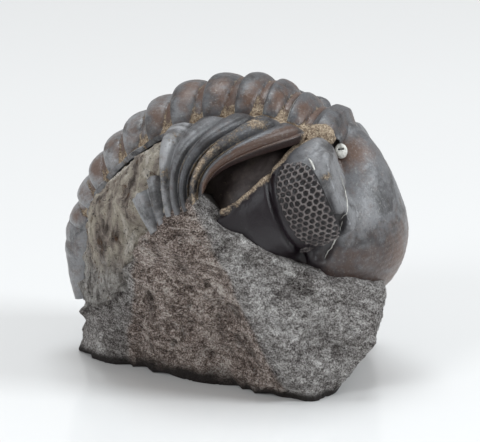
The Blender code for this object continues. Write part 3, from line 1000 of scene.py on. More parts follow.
    def tail(self) -> Skin:
        """Tail shield: fused rings that fade towards its smooth rim.

        Returns:
            The closed wall with its values.
        """
        s, w = unit_grid(self.tail_rows, self.tail_columns)
        t = self.segments + 0.5 - 0.03 + s * (self.tail_end - self.segments - 0.5)
        start = self.broken_line(t)
        v = start + (1.0 - start) * w
        reach = np.abs(v)
        t = t + 0 * v
        beat = np.abs(np.sin(np.pi * (t - self.segments - 0.5) / 0.75)) ** 0.6
        fade = 0.55 * (1 - smooth_step(t, self.segments + 0.6, self.segments + 3.2))
        ring = np.clip(1 - (v / self.sheet.furrow_v) ** 4, 0, 1)
        rib = smooth_step(reach, self.sheet.furrow_v, self.sheet.furrow_v + 0.12)
        lift = beat * fade * (0.4 * ring + 0.3 * rib) + 0.25 * ring
        points = self.sheet.lifted(t, v, lift)
        lumps = Grain(1.6, 3, seed=5).at(points)
        sand = 0.35 * hill(reach, self.sheet.furrow_v, 0.05) * fade + 0.2 * (1 - beat) * fade
        plain = 0 * lumps
        values = {"sediment": np.clip(sand + 0.1 * lumps, 0, 1), "brown": 0.2 + plain, "cheek": plain,
                  "edge": plain, "rear": 0.75 + plain}
        outer = points + self.sheet.slopes(t, v)[0] * (0.08 * lumps)[..., None]
        thick = self.tail_wall * (0.4 + 0.6 * smooth_step(w, 0.0, 0.08))
        return slab(outer, self.sheet.lifted(t, v, -thick), values)

    def build(self) -> None:
        """Makes every segment and the tail shield."""
        for number in range(1, self.segments + 1):
            first, last = number - 0.5, number + 0.5
            right = None if number >= self.first_broken else self.buried_v
            skin = self.plate(number, first, last, right, 1.0)
            if number in self.stubs:
                skin = joined([skin, self.plate(number, first, last, *self.stubs[number], 0.02)])
            name = f"thoracic_segment_{number:02d}"
            skin.to_object(name + "_shell", self.finish, Slot.SHELL, (name,))
        self.tail().to_object("pygidium_shell", self.finish, Slot.SHELL, ("pygidium",))


# ---------------------------------------------------------------- the head


@dataclass
class HeadShield:
    """Head shield with its own frame: A forward, Y sideways, D dorsal.

    Its surface is where rays from a point inside it last leave a distance-like
    field, the union of glabella, cheeks, eye turrets and hind border.
    """

    finish: bpy.types.Material
    tilt: float = np.radians(70.0)
    origin: Point = (12.4, 0.0, 31.5)
    centre: Point = (9.0, 0.0, -7.0)
    reach: float = 22.0
    floor: float = -13.0
    glabella_neck: float = 4.4
    glabella_widen: float = 5.5
    glabella_widest: float = 13.0
    glabella_front: float = 9.4
    glabella_rear: float = 13.4
    glabella_axis: float = -4.2
    glabella_height: float = 8.7
    cheek_centre: float = 6.0
    cheek_radii: Point = (15.5, 15.2, 11.3)
    border_half_width: float = 15.4
    eye_centre: tuple[float, float] = (7.6, 9.2)
    eye_radii: tuple[float, float] = (5.1, 2.9)
    eye_top: float = 1.2
    eye_flare: tuple[float, float] = (0.1, 0.3)
    fixed_cheek: Point = (4.9, 6.7, -4.0)
    fixed_radii: Point = (5.0, 3.9, 4.9)
    trench: tuple[Point, ...] = (
        (10.7, 10.9, 0.4), (11.6, 10.8, -0.3), (12.6, 10.4, -1.3), (13.4, 10.1, -2.4), (14.2, 9.9, -3.6))
    trench_radius: float = 1.0
    ridge: tuple[Point, ...] = (
        (0.5, 5.6, -0.3), (1.1, 6.8, -1.7), (1.7, 7.9, -2.9), (2.2, 9.6, -4.3), (3.4, 12.3, -6.6),
        (4.2, 13.6, -8.6), (5.2, 15.0, -11.3))
    ridge_radius: float = 0.6
    far_drop: float = 1.0
    columns: int = 380
    rows: int = 256
    side_share: float = 0.87
    side_angle: float = 2.35
    steps: int = 80
    halvings: int = 12

    def axes(self) -> np.ndarray:
        """World directions of A, Y and D, one a row."""
        c, s = np.cos(self.tilt), np.sin(self.tilt)
        return np.array([[c, 0, -s], [0, 1, 0], [s, 0, c]])

    def world(self, ayd: np.ndarray) -> np.ndarray:
        """World place of a point given in the head's frame."""
        return np.array(self.origin) + ayd @ self.axes()

    def cheek_dome(self, y: np.ndarray) -> np.ndarray:
        """D level of the cheeks at distance y from the midline: an elliptical arch."""
        arch = np.sqrt(np.clip(1 - (y / self.border_half_width) ** 2, 0, None))
        return self.floor + self.cheek_radii[2] * arch

    def back_edge(self, y: np.ndarray, d: np.ndarray) -> np.ndarray:
        """Hind face, which leans forward below its border.

        Args:
            y: Sideways coordinates.
            d: Dorsal coordinates.

        Returns:
            Its forward coordinate A there.
        """
        y = np.abs(y)
        cheek = 0.8 + 3.6 * (np.clip(y - 5.5, 0, None) / 9.5) ** 1.5
        below_neck = 1.5 * np.clip(0.8 - d, 0, 3.0)
        below_cheek = 0.6 * np.clip(self.cheek_dome(y) - d, 0, 6.0)
        away = smooth_step(y, 4.8, 5.8)
        return (1 - away) * (below_neck + 0.2) + away * (cheek + below_cheek)

    def glabella(self, a: np.ndarray, y: np.ndarray, d: np.ndarray) -> np.ndarray:
        """Bulb that widens forward, rounder ahead of its widest place.

        Args:
            a: Forward coordinates.
            y: Sideways coordinates.
            d: Dorsal coordinates.

        Returns:
            Distance-like field, below 0 inside.
        """
        half = self.glabella_neck + self.glabella_widen * smooth_step(a, 1.5, self.glabella_widest)
        girth = np.hypot(y / half, (d - self.glabella_axis) / self.glabella_height)
        ahead = np.clip((a - self.glabella_widest) / self.glabella_front, 0, None)
        behind = np.clip((self.glabella_widest - a) / self.glabella_rear, 0, None)
        bulb = np.where(a > self.glabella_widest, np.hypot(girth, ahead), np.cbrt(girth**3 + behind**3))
        return (bulb - 1) * 7.5

    def cheeks(self, a: np.ndarray, y: np.ndarray, d: np.ndarray) -> np.ndarray:
        """Ellipsoid of both cheeks."""
        long, wide, high = self.cheek_radii
        ring = ((a - self.cheek_centre) / long) ** 2 + (y / wide) ** 2 + ((d - self.floor) / high) ** 2
        return (np.sqrt(ring) - 1) * high

    def eye_plan(self, a: np.ndarray, y: np.ndarray, d: np.ndarray) -> np.ndarray:
        """Plan of the eye's turret: an oval that flares downwards.

        Args:
            a: Forward coordinates.
            y: Sideways coordinates.
            d: Dorsal coordinates.

        Returns:
            1 on the turret's wall and less inside it.
        """
        low = -np.clip(d, -9.0, 1.5)
        along = (a - self.eye_centre[0]) / (self.eye_radii[0] + self.eye_flare[0] * low)
        out = (np.abs(y) - self.eye_centre[1]) / (self.eye_radii[1] + self.eye_flare[1] * low)
        return np.hypot(along, out)

    def field_at(self, a: np.ndarray, y: np.ndarray, d: np.ndarray) -> np.ndarray:
        """Distance-like field of the whole head, below 0 inside it.

        Args:
            a: Forward coordinates.
            y: Sideways coordinates.
            d: Dorsal coordinates.

        Returns:
            The smooth union of its shapes, cut off at the hind face and floor.
        """
        lower = self.far_drop * smooth_step(y, 3.0, 7.0)
        turret = -smooth_min([(1 - self.eye_plan(a, y, d)) * 3.4, self.eye_top - lower - d], 0.35)
        side = np.abs(y)
        ayd = np.stack([a, side, d], -1)
        cord = way_from(ayd, np.array(self.ridge)) - self.ridge_radius
        ca, cy, cd = self.fixed_cheek
        ra, ry, rd = self.fixed_radii
        cube = np.abs((a - ca) / ra) ** 3 + np.abs((side - cy) / ry) ** 3 + np.abs((d + lower - cd) / rd) ** 3
        fixed = (np.cbrt(cube) - 1) * 4
        whole = smooth_min([self.glabella(a, y, d), self.cheeks(a, y, d), turret, cord, fixed], 0.12)
        dug = way_from(ayd, np.array(self.trench)) - self.trench_radius
        whole = -smooth_min([-whole, dug], 0.15)
        cut = -smooth_min([-whole, (a - self.back_edge(y, d)) * 0.7], 0.3)
        return np.maximum(cut, self.floor - d)

    def shell(self) -> np.ndarray:
        """Surface points in the head's frame, from pole to pole of its A axis.

        Rays stand closer together on the dorsal side.

        Returns:
            Rows by columns by three.
        """
        u = np.linspace(0, 1, self.columns, endpoint=False)
        share, angle = self.side_share / 2, self.side_angle
        lon = np.interp(u, [0, share, 1 - share, 1], [0, angle, 2 * np.pi - angle, 2 * np.pi])[None, :]
        lat = np.linspace(0, np.pi, self.rows)[:, None]
        ray = np.stack([-np.cos(lat) + 0 * lon, np.sin(lat) * np.sin(lon), np.sin(lat) * np.cos(lon)], -1)
        return np.array(self.centre) + ray * self.reach_along(ray)[..., None]

    def reach_along(self, ray: np.ndarray) -> np.ndarray:
        """Distance at which each ray from the inner point leaves the head.

        Args:
            ray: Directions in the head's frame on the last axis.

        Returns:
            One distance a ray, found by marching inwards and then halving.
        """
        centre = np.array(self.centre)

        def inside(r: np.ndarray) -> np.ndarray:
            """Whether the point at distance r along each ray is in the head."""
            return self.field_at(*np.moveaxis(centre + ray * r[..., None], -1, 0)) < 0

        far = np.full(ray.shape[:-1], self.reach)
        found = np.zeros(ray.shape[:-1], bool)
        for r in np.linspace(self.reach, 0, self.steps, endpoint=False):
            found |= inside(np.full(ray.shape[:-1], r))
            far = np.where(found, far, r)
        near = far - self.reach / self.steps
        for _ in range(self.halvings):
            middle = (near + far) / 2
            hit = inside(middle)
            near = np.where(hit, middle, near)
            far = np.where(hit, far, middle)
        return near

    def build(self) -> None:
        """Makes the head shield with its furrows, lobes and skin relief, and painted shade in its trench,
        under the eye's lobe and on the glabella's low front.
        """
        grid = self.shell()
        a, y, d = np.moveaxis(grid, -1, 0)
        side = np.abs(y)
        plan = self.eye_plan(a, y, d)
        mm = self.world(grid)
        swell = 0.22 * hill(plan, 0.90, 0.10) * smooth_step(d, 0.2, 0.9)
        gutter = -0.5 * hill(d + 0.008 * (a - 7.6), -5.75, 0.32) * hill(plan, 1.05, 0.25)
        ayd = np.stack([a, side, d], -1)
        axial = np.array([[0.6, 4.7], [3.5, 4.5], [5.5, 5.1], [9.1, 7.4]])
        furrow = -0.35 * hill(way_from(ayd[..., :2], axial), 0, 0.6) * (d > -2.5)
        pit = -0.9 * hill(np.hypot(a - 0.9, side - 5.2), 0, 0.6)
        skin = 0.12 * Grain(3.4, 3, seed=41).at(mm) + 0.02 * Grain(0.6, 2, seed=42).at(mm)
        wrinkle = np.sin((a + 0.35 * Grain(3.0, 2, seed=43).at(mm)) * 9.0)
        wrinkle = 0.014 * wrinkle * smooth_step(a, 11, 16) * (side < 8)
        ridge = hill(way_from(ayd, np.array(self.ridge)), 0.3, 0.45) * (side > 5.8)
        neck = hill(np.hypot(a - 0.9, side - 5.3), 0, 1.1) * (d > -1.5)
        caught = hill(np.linalg.norm(grid - np.array([5.4, -11.0, 0.5]), axis=-1), 0, 0.75)
        sand = np.clip(0.72 * ridge + 0.75 * neck + 0.8 * caught, 0, 1)
        crumb = 0.14 * sand * Grain(0.5, 3, seed=44).at(mm) + 0.2 * ridge * Grain(1.6, 2, seed=45).at(mm)
        # brow: groove under the palpebral lobe's rim, cut into the relief and also painted dark as its shadow
        brow = hill(d, 0.42, 0.3) * hill(plan, 1.03, 0.1)
        brow = brow * smooth_step(a, 6.0, 8.0) * smooth_step(side, 9.5, 10.5)
        # painted shade in the trench between eye and glabella and painted shadow under the lobe's rim,
        # carried in the value cheek
        dark = np.maximum(1.2 * hill(way_from(ayd, np.array(self.trench)), 0.3, 0.95), brow)
        lift = swell + gutter + furrow + pit + skin + wrinkle + crumb - 0.3 * brow
        normal = grid_normals(grid, wrap=True)
        outwards = np.sign((normal * (grid - np.array(self.centre))).sum(-1, keepdims=True))
        grid = grid + normal * outwards * lift[..., None]
        cheek = smooth_step(side, 7.5, 10.0) * smooth_step(-d, 1.8, 4.6)
        brown = 1.0 * hill(np.hypot(a - 4.4, side - 3.2), 0, 2.4) + 0.9 * smooth_step(a, 11, 18)
        # the dark cheek, plus painted shade on the glabella's low front; both go into the value cheek
        shade = np.maximum(cheek, 0.5 * smooth_step(a, 10, 17) * smooth_step(side, 1.0, 6.0))
        values = {"sediment": sand, "cheek": np.clip(np.maximum(shade, dark), 0, 1),
                  "brown": brown, "edge": 0.35 * hill(plan, 0.98, 0.04) * (d > 0.5) + 0.25 * ridge,
                  "rear": 0.4 + 0.3 * smooth_step(side, 5.0, 7.5) * smooth_step(d, -1.5, 0.5)}
        ball(self.world(grid), values).to_object("cephalon_shell", self.finish, Slot.SHELL, ("cephalon",))


@dataclass
class CompoundEye:
    """Lens-bearing wall of one eye turret.

    The wall is read by its angle round the turret and its level. The lenses sit
    on a hexagonal lattice, each a shallow pit with a low dome inside a raised rim.
    """

    head: HeadShield
    finish: bpy.types.Material
    side: int
    name: str = "eye_lenses"
    level: float = -2.45
    pitch: float = 0.76
    rim_height: float = 0.27
    bulge: float = 0.5
    middle_angle: float = 6.5
    half_angle: float = 71.0
    half_height: float = 2.6
    rows: int = 166
    columns: int = 290

    def build(self) -> None:
        """Makes the lens surface as a thin wall set into the turret."""
        h = self.head
        across = np.linspace(-1, 1, self.columns)[None, :]
        up = np.linspace(-1, 1, self.rows)[:, None]
        share = np.clip(1 - np.abs(across) ** 3, 0, 1) ** 0.5
        degrees = self.middle_angle + self.half_angle * across
        d = self.level + 0.006 * degrees + self.half_height * share * up
        phi = np.radians(degrees) + 0 * up
        low = -d
        out = h.eye_radii[1] + h.eye_flare[1] * low
        long = h.eye_radii[0] + h.eye_flare[0] * low
        dome = self.bulge * (1 - up**2) * share
        a = h.eye_centre[0] + (long + dome) * np.sin(phi)
        y = h.eye_centre[1] + (out + dome) * np.cos(phi)
        wall = h.world(np.stack([a, self.side * y, d], -1))
        normal = grid_normals(wall)
        middle = h.world(np.array([h.eye_centre[0], self.side * h.eye_centre[1], -2.0]))
        normal = normal * np.sign((normal * (wall - middle)).sum(-1, keepdims=True))
        arc = np.cumsum(np.hypot(np.gradient(a, axis=1), np.gradient(y, axis=1)), axis=1)
        arc = arc - arc[:, self.columns // 2][:, None]
        shift = 0.15 * Grain(1.5, 2, seed=52).at(wall)
        nearest, second = self.lattice(d * 1.04 + shift, arc - shift)
        rim = 1 - np.clip((second - nearest) / (0.62 * self.pitch), 0, 1)
        rim = smooth_step(rim, 0.0, 0.95)
        lens = 0.03 * np.clip(1 - (nearest / (0.26 * self.pitch)) ** 2, 0, 1)
        inside = smooth_step(1 - np.abs(up), 0.02, 0.1) * smooth_step(1 - np.abs(across), 0.01, 0.06)
        wear = 0.9 + 0.4 * Grain(1.2, 3, seed=51).at(wall) + 0.4 * Grain(0.35, 2, seed=53).at(wall)
        lift = 0.02 + inside * (self.rim_height * (rim * wear - 0.35) + lens)
        values = {"rim": np.clip(rim * inside * wear, 0, 1)}
        outer = wall + normal * lift[..., None]
        name = self.name + ("_left" if self.side > 0 else "_right")
        slab(outer, wall - normal * 0.8, values).to_object(name, self.finish, Slot.SHELL, sharp=80)

    def lattice(self, x: np.ndarray, z: np.ndarray) -> tuple[np.ndarray, np.ndarray]:
        """Distances to the two nearest centres of a hexagonal lattice.

        Args:
            x: Places along the wall.
            z: Places up the wall.

        Returns:
            Nearest and second nearest distance.
        """
        p, q = self.pitch, self.pitch * np.sqrt(3) / 2
        best = np.full(x.shape, 9.0)
        second = np.full(x.shape, 9.0)
        row = np.round(z / q)
        for step in (-1, 0, 1):
            r = row + step
            shift = 0.5 * p * np.mod(r, 2)
            column = np.round((x - shift) / p)
            for beside in (-1, 0, 1):
                way = np.hypot(x - shift - (column + beside) * p, z - r * q)
                second = np.where(way < best, best, np.minimum(second, way))
                best = np.minimum(best, way)
        return best, second


@dataclass
class NeckRing:
    """Occipital ring: the band that joins the head to the first segment."""

    thorax: Thorax
    t: tuple[float, float] = (-0.55, 0.52)
    half_v: float = 0.33
    rows: int = 60
    columns: int = 120
    rise: float = 0.55
    sunk: float = 1.2
    depth: float = 3.0

    def build(self) -> None:
        """Makes a pillow of the body's sheet whose front and ends sink into the head."""
        sheet = self.thorax.sheet
        s = np.linspace(0, 1, self.rows)[:, None]
        v = np.linspace(-self.half_v, self.half_v, self.columns)[None, :]
        t = self.t[0] + s * (self.t[1] - self.t[0]) + 0 * v
        across = np.clip(1 - np.abs(v / self.half_v) ** 2.4, 0, 1)
        along = np.clip(1 - np.abs(2 * s - 1) ** 2.0, 0, 1)
        sink = np.maximum(1 - smooth_step(s, 0.0, 0.4), 0.35 * smooth_step(s, 0.8, 1.0))
        sink = np.maximum(sink, 1 - smooth_step(across, 0.0, 0.5))
        lift = self.rise * (along * across) ** 0.6 - self.sunk * sink
        v = v + 0 * s
        points = sheet.lifted(t, v, lift)
        values = self.thorax.values(0.45 + 0.45 * s, v, points, 0)
        values["brown"] = 0.4 * values["brown"]
        inner = sheet.lifted(t, v, -self.depth)
        slab(points, inner, values).to_object("occipital_ring", self.thorax.finish, Slot.SHELL)


# ---------------------------------------------------------------- the rock


@dataclass
class Rock:
    """Block of limestone bounded by broken faces."""

    finish: bpy.types.Material
    centre: Point = (1.0, 0.0, 12.0)
    faces: tuple[tuple[Point, float], ...] = (
        ((-0.261, -0.927, -0.266), 9.1),
        ((0.420, -0.900, 0.070), 17.9),
        ((-0.560, -0.817, -0.130), 12.3),
        ((0.780, 0.080, -0.620), 10.6),
        ((0.930, 0.205, -0.307), 15.0),
        ((0.930, 0.350, 0.100), 18.0),
        ((-0.985, -0.120, 0.120), 19.7),
        ((0.120, 0.975, -0.190), 13.2),
        ((-0.500, 0.850, 0.100), 19.0),
        ((-0.707, 0.000, 0.707), 17.0),
        ((0.530, -0.100, 0.840), 21.2),
        ((0.150, 0.700, 0.700), 22.4),
    )
    swells: tuple[tuple[float, float, float, float, float], ...] = (
        (-1.5, -14.6, 19.5, 4.2, 2.4), (-6.0, -13.2, 18.0, 3.2, 2.0), (-18.5, -6.0, 8.0, 3.0, 0.7),
        (17.5, -6.0, 12.0, 3.0, 1.4), (11.5, -13.0, 16.5, 5.5, -2.0), (11.5, -13.5, 2.0, 3.0, 0.8),
        (-12.0, -9.0, 2.0, 4.0, -0.9))
    chip_gap: float = 4.6
    chip_depth: float = 0.11
    chip_cap: float = 0.45
    corner: float = 0.2
    grain_axes: tuple[Point, ...] = ((0.55, 0.0, 0.9), (0.0, 1.0, 0.0), (-0.45, 0.0, 1.1))
    right_border: tuple[float, float] = (6.0, 6.9)
    left_border: tuple[float, float] = (9.4, 10.4)
    columns: int = 520
    bands: tuple[tuple[float, float, int], ...] = ((0, 42, 16), (42, 128, 158), (128, 180, 14))

    def scallops(self, mm: np.ndarray) -> np.ndarray:
        """Shell-shaped breaks that meet in crisp ridges.

        Args:
            mm: Places on the block.

        Returns:
            Least of many bowls: depth times the squared distance from a random
            centre plus that centre's own height, less their median and capped.
        """
        dice = np.random.default_rng(66)
        low, high = mm.reshape(-1, 3).min(axis=0) - 3, mm.reshape(-1, 3).max(axis=0) + 3
        count = int(np.prod((high - low) / self.chip_gap))
        best = np.full(mm.shape[:-1], np.inf)
        for centre, height in zip(dice.uniform(low, high, (count, 3)), dice.uniform(0, 0.7, count)):
            best = np.minimum(best, height + self.chip_depth * ((mm - centre) ** 2).sum(axis=-1))
        return np.minimum(best - np.median(best), self.chip_cap) - 0.1

    def build(self) -> None:
        """Makes the block: the nearest face along each ray, roughened by noise, with painted shade along its
        foot and in its dips.
        """
        lat = np.concatenate([np.linspace(a, b, n, endpoint=b == 180) for a, b, n in self.bands])
        ray = sphere_rays(np.radians(lat), self.columns)
        centre = np.array(self.centre)
        most, level = 60.0, 1e-3
        reaches = []
        for normal, distance in self.faces:
            away = unit(np.array(normal))
            facing = ray @ away
            reach = (distance - centre @ away) / np.maximum(facing, level)
            reaches.append(np.where(facing > level, np.minimum(reach, most), most))
        r = smooth_min(reaches, self.corner)
        mm = centre + ray * r[..., None]
        chips = 0.5 * Grain(7.0, 2, seed=61).at(mm) + 1.3 * self.scallops(mm)
        slant = mm @ np.array(self.grain_axes)
        rough = 0.34 * Grain(2.2, 4, 0.6, seed=62, ridged=True).at(slant)
        rough = rough + 0.2 * Grain(1.1, 3, 0.75, seed=63).at(mm)
        r = r + chips + rough
        for x, y, z, width, height in self.swells:
            r = r + height * hill(np.linalg.norm(mm - np.array([x, y, z]), axis=-1), 0, width)
        floor = np.where(ray[..., 2] < -level, -centre[2] / np.minimum(ray[..., 2], -level), most)
        grid = centre + ray * np.minimum(r, floor)[..., None]
        grid[..., 2] = np.maximum(grid[..., 2], 0.0)
        x, y, z = np.moveaxis(grid, -1, 0)
        wander = 0.8 * Grain(3.0, 3, seed=64).at(mm)
        grey = smooth_step(x + 0.45 * (z - 10) + wander, *self.right_border)
        grey = np.maximum(grey, 0.9 * smooth_step(-x + 0.2 * (z - 9.5) + wander, *self.left_border))
        # painted shade in the value dark: a band along the foot, where the undercut base lies in shadow, and
        # the dips between the rough surface's ridges
        foot = 0.5 + 0.9 * hill(x, -4.0, 8.0)
        dark = 0.95 * (1 - smooth_step(z, foot, foot + 0.8))
        low = np.median(rough) - rough
        dark = np.maximum(dark, smooth_step(low, 0.02, 0.3) * (0.62 - 0.25 * grey))
        # the rock inside the hollow takes its dark tone, partly painted shade of the deep hollow
        hollow = smooth_step(x, -1.2, 0.2) * smooth_step(z, 18.2, 19.4) * smooth_step(y, -13.8, -12.8)
        ball(grid, {"grey": grey, "dark": dark, "hollow": hollow}).to_object(
            "matrix_rock", self.finish, Slot.LIMESTONE, ("matrix",), sharp=180)


@dataclass
class Mould:
    """Rock that filled the body, bared where the near pleurae broke away."""

    sheet: BodySheet
    finish: bpy.types.Material
    thorax: Thorax
    t: tuple[float, float] = (5.2, 16.0)
    v: tuple[float, float] = (-0.98, 0.30)
    buried: float = -1.3
    bared: float = -0.1
    recess: float = 3.0
    depth: float = 3.4
    crack: tuple[float, float] = (0.65, 1.25)
    rows: int = 216
    columns: int = 224

    def build(self) -> None:
        """Makes the near flank, ribbed once a segment, with a crack along the plates darkened by painted
        shadow.
        """
        t = np.linspace(*self.t, self.rows)[:, None]
        v = np.linspace(*self.v, self.columns)[None, :]
        flat = self.sheet.at(t, v)
        edge = self.thorax.broken_line(t)
        per_v = self.sheet.slopes(t, np.full_like(t, -0.45))[2]
        gap = (self.crack[0] + (self.crack[1] - self.crack[0]) * smooth_step(t, 8.5, 14.0)) / per_v
        out = smooth_step(edge - v, gap, gap + 0.25 / per_v)
        rib = np.abs(np.sin(np.pi * (t - 0.5))) ** 0.8
        fade = smooth_step(-v, 0.5, 0.65) * (1 - smooth_step(t, 9.5, 12.0))
        clear = smooth_step(edge - v, 0.0, 0.12)
        lumps = Grain(3.6, 3, seed=72).at(flat)
        grit = Grain(1.5, 4, 0.65, seed=73, ridged=True).at(flat * np.array([1.4, 1.0, 0.7]))
        lift = self.buried + (self.bared - self.buried) * out
        lift = lift + out * (0.25 * rib * fade + (0.3 + 0.5 * clear) * lumps + 0.6 * clear * grit - 0.2)
        outer = self.sheet.lifted(t, v, lift)
        inner = self.sheet.lifted(t, v, -self.depth)
        low = 1 - smooth_step(flat[..., 2], 18.5, 22.5)
        back = self.recess * smooth_step(flat[..., 0], -13.0, -8.0) * low * smooth_step(-v, 0.4, 0.6)
        drop = np.array([0.0, 1.0, -0.2]) * back[..., None]
        # painted shadow in the crack under the broken plates' edge, reaching onto the mould's slope
        dark = 1 - smooth_step(edge - v, gap + 0.1 / per_v, gap + 0.35 / per_v) + 0 * lumps
        grey = smooth_step(0.8 * lumps - 0.3 * (flat[..., 2] - 15.0), -0.6, 1.0)
        slab(outer + drop, inner + drop, {"dark": dark, "grey": grey}).to_object(
            "matrix_mould", self.finish, Slot.LIMESTONE, sharp=180)


@dataclass
class Hollow:
    """Dark rock at the back of the hollow below the first pleurae, its dark partly painted shade."""

    finish: bpy.types.Material
    centre: Point = (5.2, 0.0, 21.5)
    radii: Point = (9.6, 12.6, 9.0)
    columns: int = 180
    rows: int = 100

    def build(self) -> None:
        """Makes an ellipsoid with low waves."""
        ray = sphere_rays(np.linspace(0, np.pi, self.rows), self.columns)
        mm = np.array(self.centre) + ray * np.array(self.radii)
        mm = mm + ray * (0.5 * Grain(4.0, 3, seed=81).at(mm))[..., None]
        ball(mm).to_object("matrix_hollow_wall", self.finish, Slot.LIMESTONE, sharp=180)


@dataclass
class Ossicle:
    """White crinoid ossicle stuck against the glabella, with a slot in its face."""

    head: HeadShield
    finish: bpy.types.Material
    centre: Point = (3.85, -3.95, 0.95)
    axis: Point = (-0.48, -0.78, 0.4)
    radius: float = 0.88
    height: float = 0.85
    columns: int = 96
    rows: int = 60

    def build(self) -> None:
        """Makes a rounded disc by turning a superellipse, then sinks its slot and darkens it with painted
        shade.
        """
        up = unit(np.array(self.axis) @ self.head.axes())
        long = unit(np.cross(up, [0.0, -0.35, 1.0]))
        wide = np.cross(up, long)
        lat = np.linspace(0, np.pi, self.rows)[:, None]
        lon = np.linspace(0, 2 * np.pi, self.columns, endpoint=False)[None, :]
        ring = np.abs(np.sin(lat)) ** 0.55
        level = np.sign(np.cos(lat)) * np.abs(np.cos(lat)) ** 0.6 * self.height / 2
        x = self.radius * 0.86 * ring * np.cos(lon)
        z = self.radius * 1.05 * ring * np.sin(lon)
        slot = hill(z + 0.08, 0, 0.11) * smooth_step(0.42 - np.abs(x), 0.0, 0.15) * (level > 0)
        level = level - 0.22 * slot
        centre = self.head.world(np.array(self.centre))
        grid = centre + x[..., None] * long + z[..., None] * wide + level[..., None] * up
        grid = grid + up * (0.03 * Grain(0.4, 2, seed=91).at(grid))[..., None]
        # painted shade darkening the sunk slot
        ball(grid, {"dark": np.clip(1.3 * slot, 0, 1)}).to_object(
            "crinoid_ossicle_disc", self.finish, Slot.CALCITE, ("crinoid_ossicle",))


@dataclass
class NeckSediment:
    """Granular sediment packed between the neck, the lobe and the first pleura."""

    finish: bpy.types.Material
    centre: Point = (12.2, -5.3, 30.0)
    radii: Point = (2.0, 1.3, 1.5)
    columns: int = 120
    rows: int = 80

    def build(self) -> None:
        """Makes a lumpy ellipsoid."""
        ray = sphere_rays(np.linspace(0, np.pi, self.rows), self.columns)
        mm = np.array(self.centre) + ray * np.array(self.radii)
        lumps = 0.35 * Grain(1.3, 3, seed=85).at(mm) + 0.14 * Grain(0.4, 3, seed=86).at(mm)
        grid = mm + ray * lumps[..., None]
        plain = 0 * lumps
        values = {"sediment": plain + 1, "brown": plain, "cheek": plain, "edge": plain, "rear": plain}
        ball(grid, values).to_object("neck_sediment", self.finish, Slot.LIMESTONE)


@dataclass
class CalciteVeins:
    """White threads of calcite that fill cracks in the head shield."""

    head: HeadShield
    finish: bpy.types.Material
    paths: tuple[tuple[Point, ...], ...] = (
        ((6.0, -7.9, 1.2), (7.6, -8.2, 1.4), (9.0, -8.6, 1.2), (10.1, -9.6, 1.1), (11.0, -11.0, 0.8)),
        ((11.2, -10.8, 1.0), (12.9, -10.1, -0.6), (14.0, -9.6, -2.1), (15.0, -9.2, -3.6)),
        ((2.3, -11.0, -0.5), (3.2, -11.3, -0.4), (4.2, -11.4, -0.4)),
    )
    widths: tuple[float, ...] = (0.10, 0.11, 0.17)
    clear: float = 0.02
    rows: int = 90
    columns: int = 8

    def thread(self, path: tuple[Point, ...], width: float, seed: int) -> Skin:
        """One thread: a thin tube along a wandering line on the shield.

        Args:
            path: Corners near the surface, in the head's frame.
            width: Radius in millimetres.
            seed: Seed of its wandering.

        Returns:
            The closed tube, whose radius swells, pinches and ends in points.
        """
        corners = np.array(path)
        along = np.concatenate([[0], np.cumsum(np.linalg.norm(np.diff(corners, axis=0), axis=1))])
        at = np.linspace(0, along[-1], self.rows)
        line = np.stack([np.interp(at, along, corners[:, k]) for k in range(3)], -1)
        line = line + 0.14 * np.stack([Grain(0.9, 3, seed=seed + k).at(line) for k in range(3)], -1)
        ray = unit(line - np.array(self.head.centre))
        reach = self.head.reach_along(ray) + self.clear
        spine = self.head.world(np.array(self.head.centre) + ray * reach[:, None])
        out = ray @ self.head.axes()
        side = unit(np.cross(np.gradient(spine, axis=0), out))
        taper = np.sin(np.pi * np.linspace(0, 1, self.rows)) ** 0.35
        radius = width * taper * (0.75 + 0.6 * Grain(0.6, 3, seed=seed + 7).at(line))
        angle = np.linspace(0, 2 * np.pi, self.columns, endpoint=False)[None, :, None]
        ring = np.cos(angle) * side[:, None] + np.sin(angle) * out[:, None]
        grid = spine[:, None] + ring * radius[:, None, None]
        return ball(grid, {"dark": np.zeros(grid.shape[:2])})

    def build(self) -> None:
        """Makes all threads as one piece."""
        runs = enumerate(zip(self.paths, self.widths))
        threads = [self.thread(path, width, 100 + 10 * k) for k, (path, width) in runs]
        joined(threads).to_object("calcite_veins", self.finish, Slot.CALCITE, sharp=180)


# ---------------------------------------------------------------- the stage


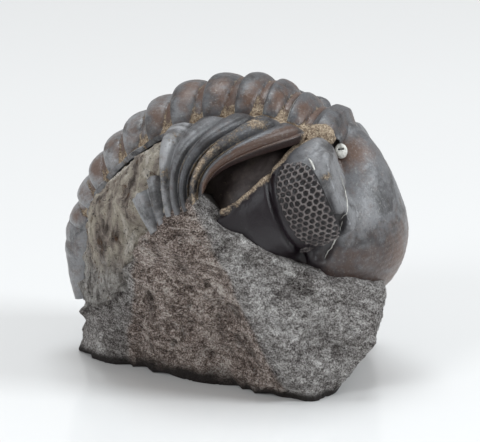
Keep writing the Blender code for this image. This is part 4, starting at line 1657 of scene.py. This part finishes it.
@dataclass
class Studio:
    """Pale floor, soft lights and the camera."""

    target: Point = (2.06, -3.6, 18.7)
    azimuth: float = 17.0
    elevation: float = 14.0
    distance: float = 350.0
    lens: float = 218.75
    sensor: float = 36.0
    near_clip: float = 0.01
    floor_size: float = 1.6
    daylight: Point = (0.90, 0.96, 1.0)
    surround: tuple[float, ...] = (1.0, 0.985, 0.975, 1.0)
    surround_strength: float = 0.42
    floor_tone: Tone = (238, 237, 236)
    lamps: tuple[tuple[str, Point, float, float], ...] = (
        ("top", (-0.1, 0.3, 1.5), 0.8, 13.8),
        ("right", (1.15, 0.05, 0.75), 0.45, 11.0),
        ("front", (-0.6, -1.3, 0.9), 0.6, 8.5),
    )

    def floor(self) -> None:
        """Makes the glossy pale floor."""
        g = Graph("pale_floor", 0.13, 0.6)
        mesh = bpy.data.meshes.new("floor")
        h = self.floor_size
        mesh.from_pydata([(-h, -h, 0), (h, -h, 0), (h, h, 0), (-h, h, 0)], [], [(0, 1, 2, 3)])
        mesh.materials.append(g.finish(self.floor_tone))
        placed("floor", mesh)

    def light(self, name: str, place: Point, size: float, power: float) -> None:
        """Adds a square soft light aimed at the fossil.

        Args:
            name: The light's name.
            place: Where it hangs, in metres.
            size: Side in metres.
            power: Watts.
        """
        lamp = bpy.data.lights.new(name, "AREA")
        lamp.size = size
        lamp.energy = power
        lamp.color = self.daylight
        obj = placed(name, lamp)
        obj.location = place
        aim = Vector(self.target) * MM - Vector(place)
        obj.rotation_euler = aim.to_track_quat("-Z", "Y").to_euler()

    def camera(self) -> None:
        """Adds the camera at the viewing angle."""
        az, el = np.radians(self.azimuth), np.radians(self.elevation)
        back = Vector((np.sin(az) * np.cos(el), -np.cos(az) * np.cos(el), np.sin(el)))
        data = bpy.data.cameras.new("camera")
        data.lens = self.lens
        data.sensor_width = self.sensor
        data.clip_start = self.near_clip
        obj = placed("camera", data)
        obj.location = (Vector(self.target) + back * self.distance) * MM
        obj.rotation_euler = (-back).to_track_quat("-Z", "Y").to_euler()
        bpy.context.scene.camera = obj

    def build(self) -> None:
        """Sets the whole stage."""
        scene = bpy.context.scene
        world = bpy.data.worlds.new("studio")
        world.use_nodes = True
        background = world.node_tree.nodes["Background"]
        background.inputs["Color"].default_value = self.surround
        background.inputs["Strength"].default_value = self.surround_strength
        scene.world = world
        scene.view_settings.view_transform = "Standard"
        self.floor()
        for lamp in self.lamps:
            self.light(*lamp)
        self.camera()


def main() -> None:
    """Builds the fossil piece by piece."""
    logging.basicConfig(level=logging.INFO, format="%(message)s")
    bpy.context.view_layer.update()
    Studio().build()
    cuticle = CuticleFinish().build()
    sheet = BodySheet()
    thorax = Thorax(sheet, cuticle)
    thorax.build()
    NeckRing(thorax).build()
    head = HeadShield(cuticle)
    head.build()
    lenses = LensFinish().build()
    for side in (-1, 1):
        CompoundEye(head, lenses, side).build()
    CompoundEye(
        head, lenses, -1, "eye_pores", level=-5.3, pitch=0.46, rim_height=0.2, bulge=0.1, middle_angle=77.0,
        half_angle=15.0, half_height=0.75, rows=60, columns=110).build()
    calcite = CalciteFinish().build()
    Ossicle(head, calcite).build()
    CalciteVeins(head, calcite).build()
    NeckSediment(cuticle).build()
    Rock(RockFinish().build()).build()
    Mould(sheet, MouldFinish().build(), thorax).build()
    Hollow(HollowFinish().build()).build()


if __name__ == "__main__":
    main()
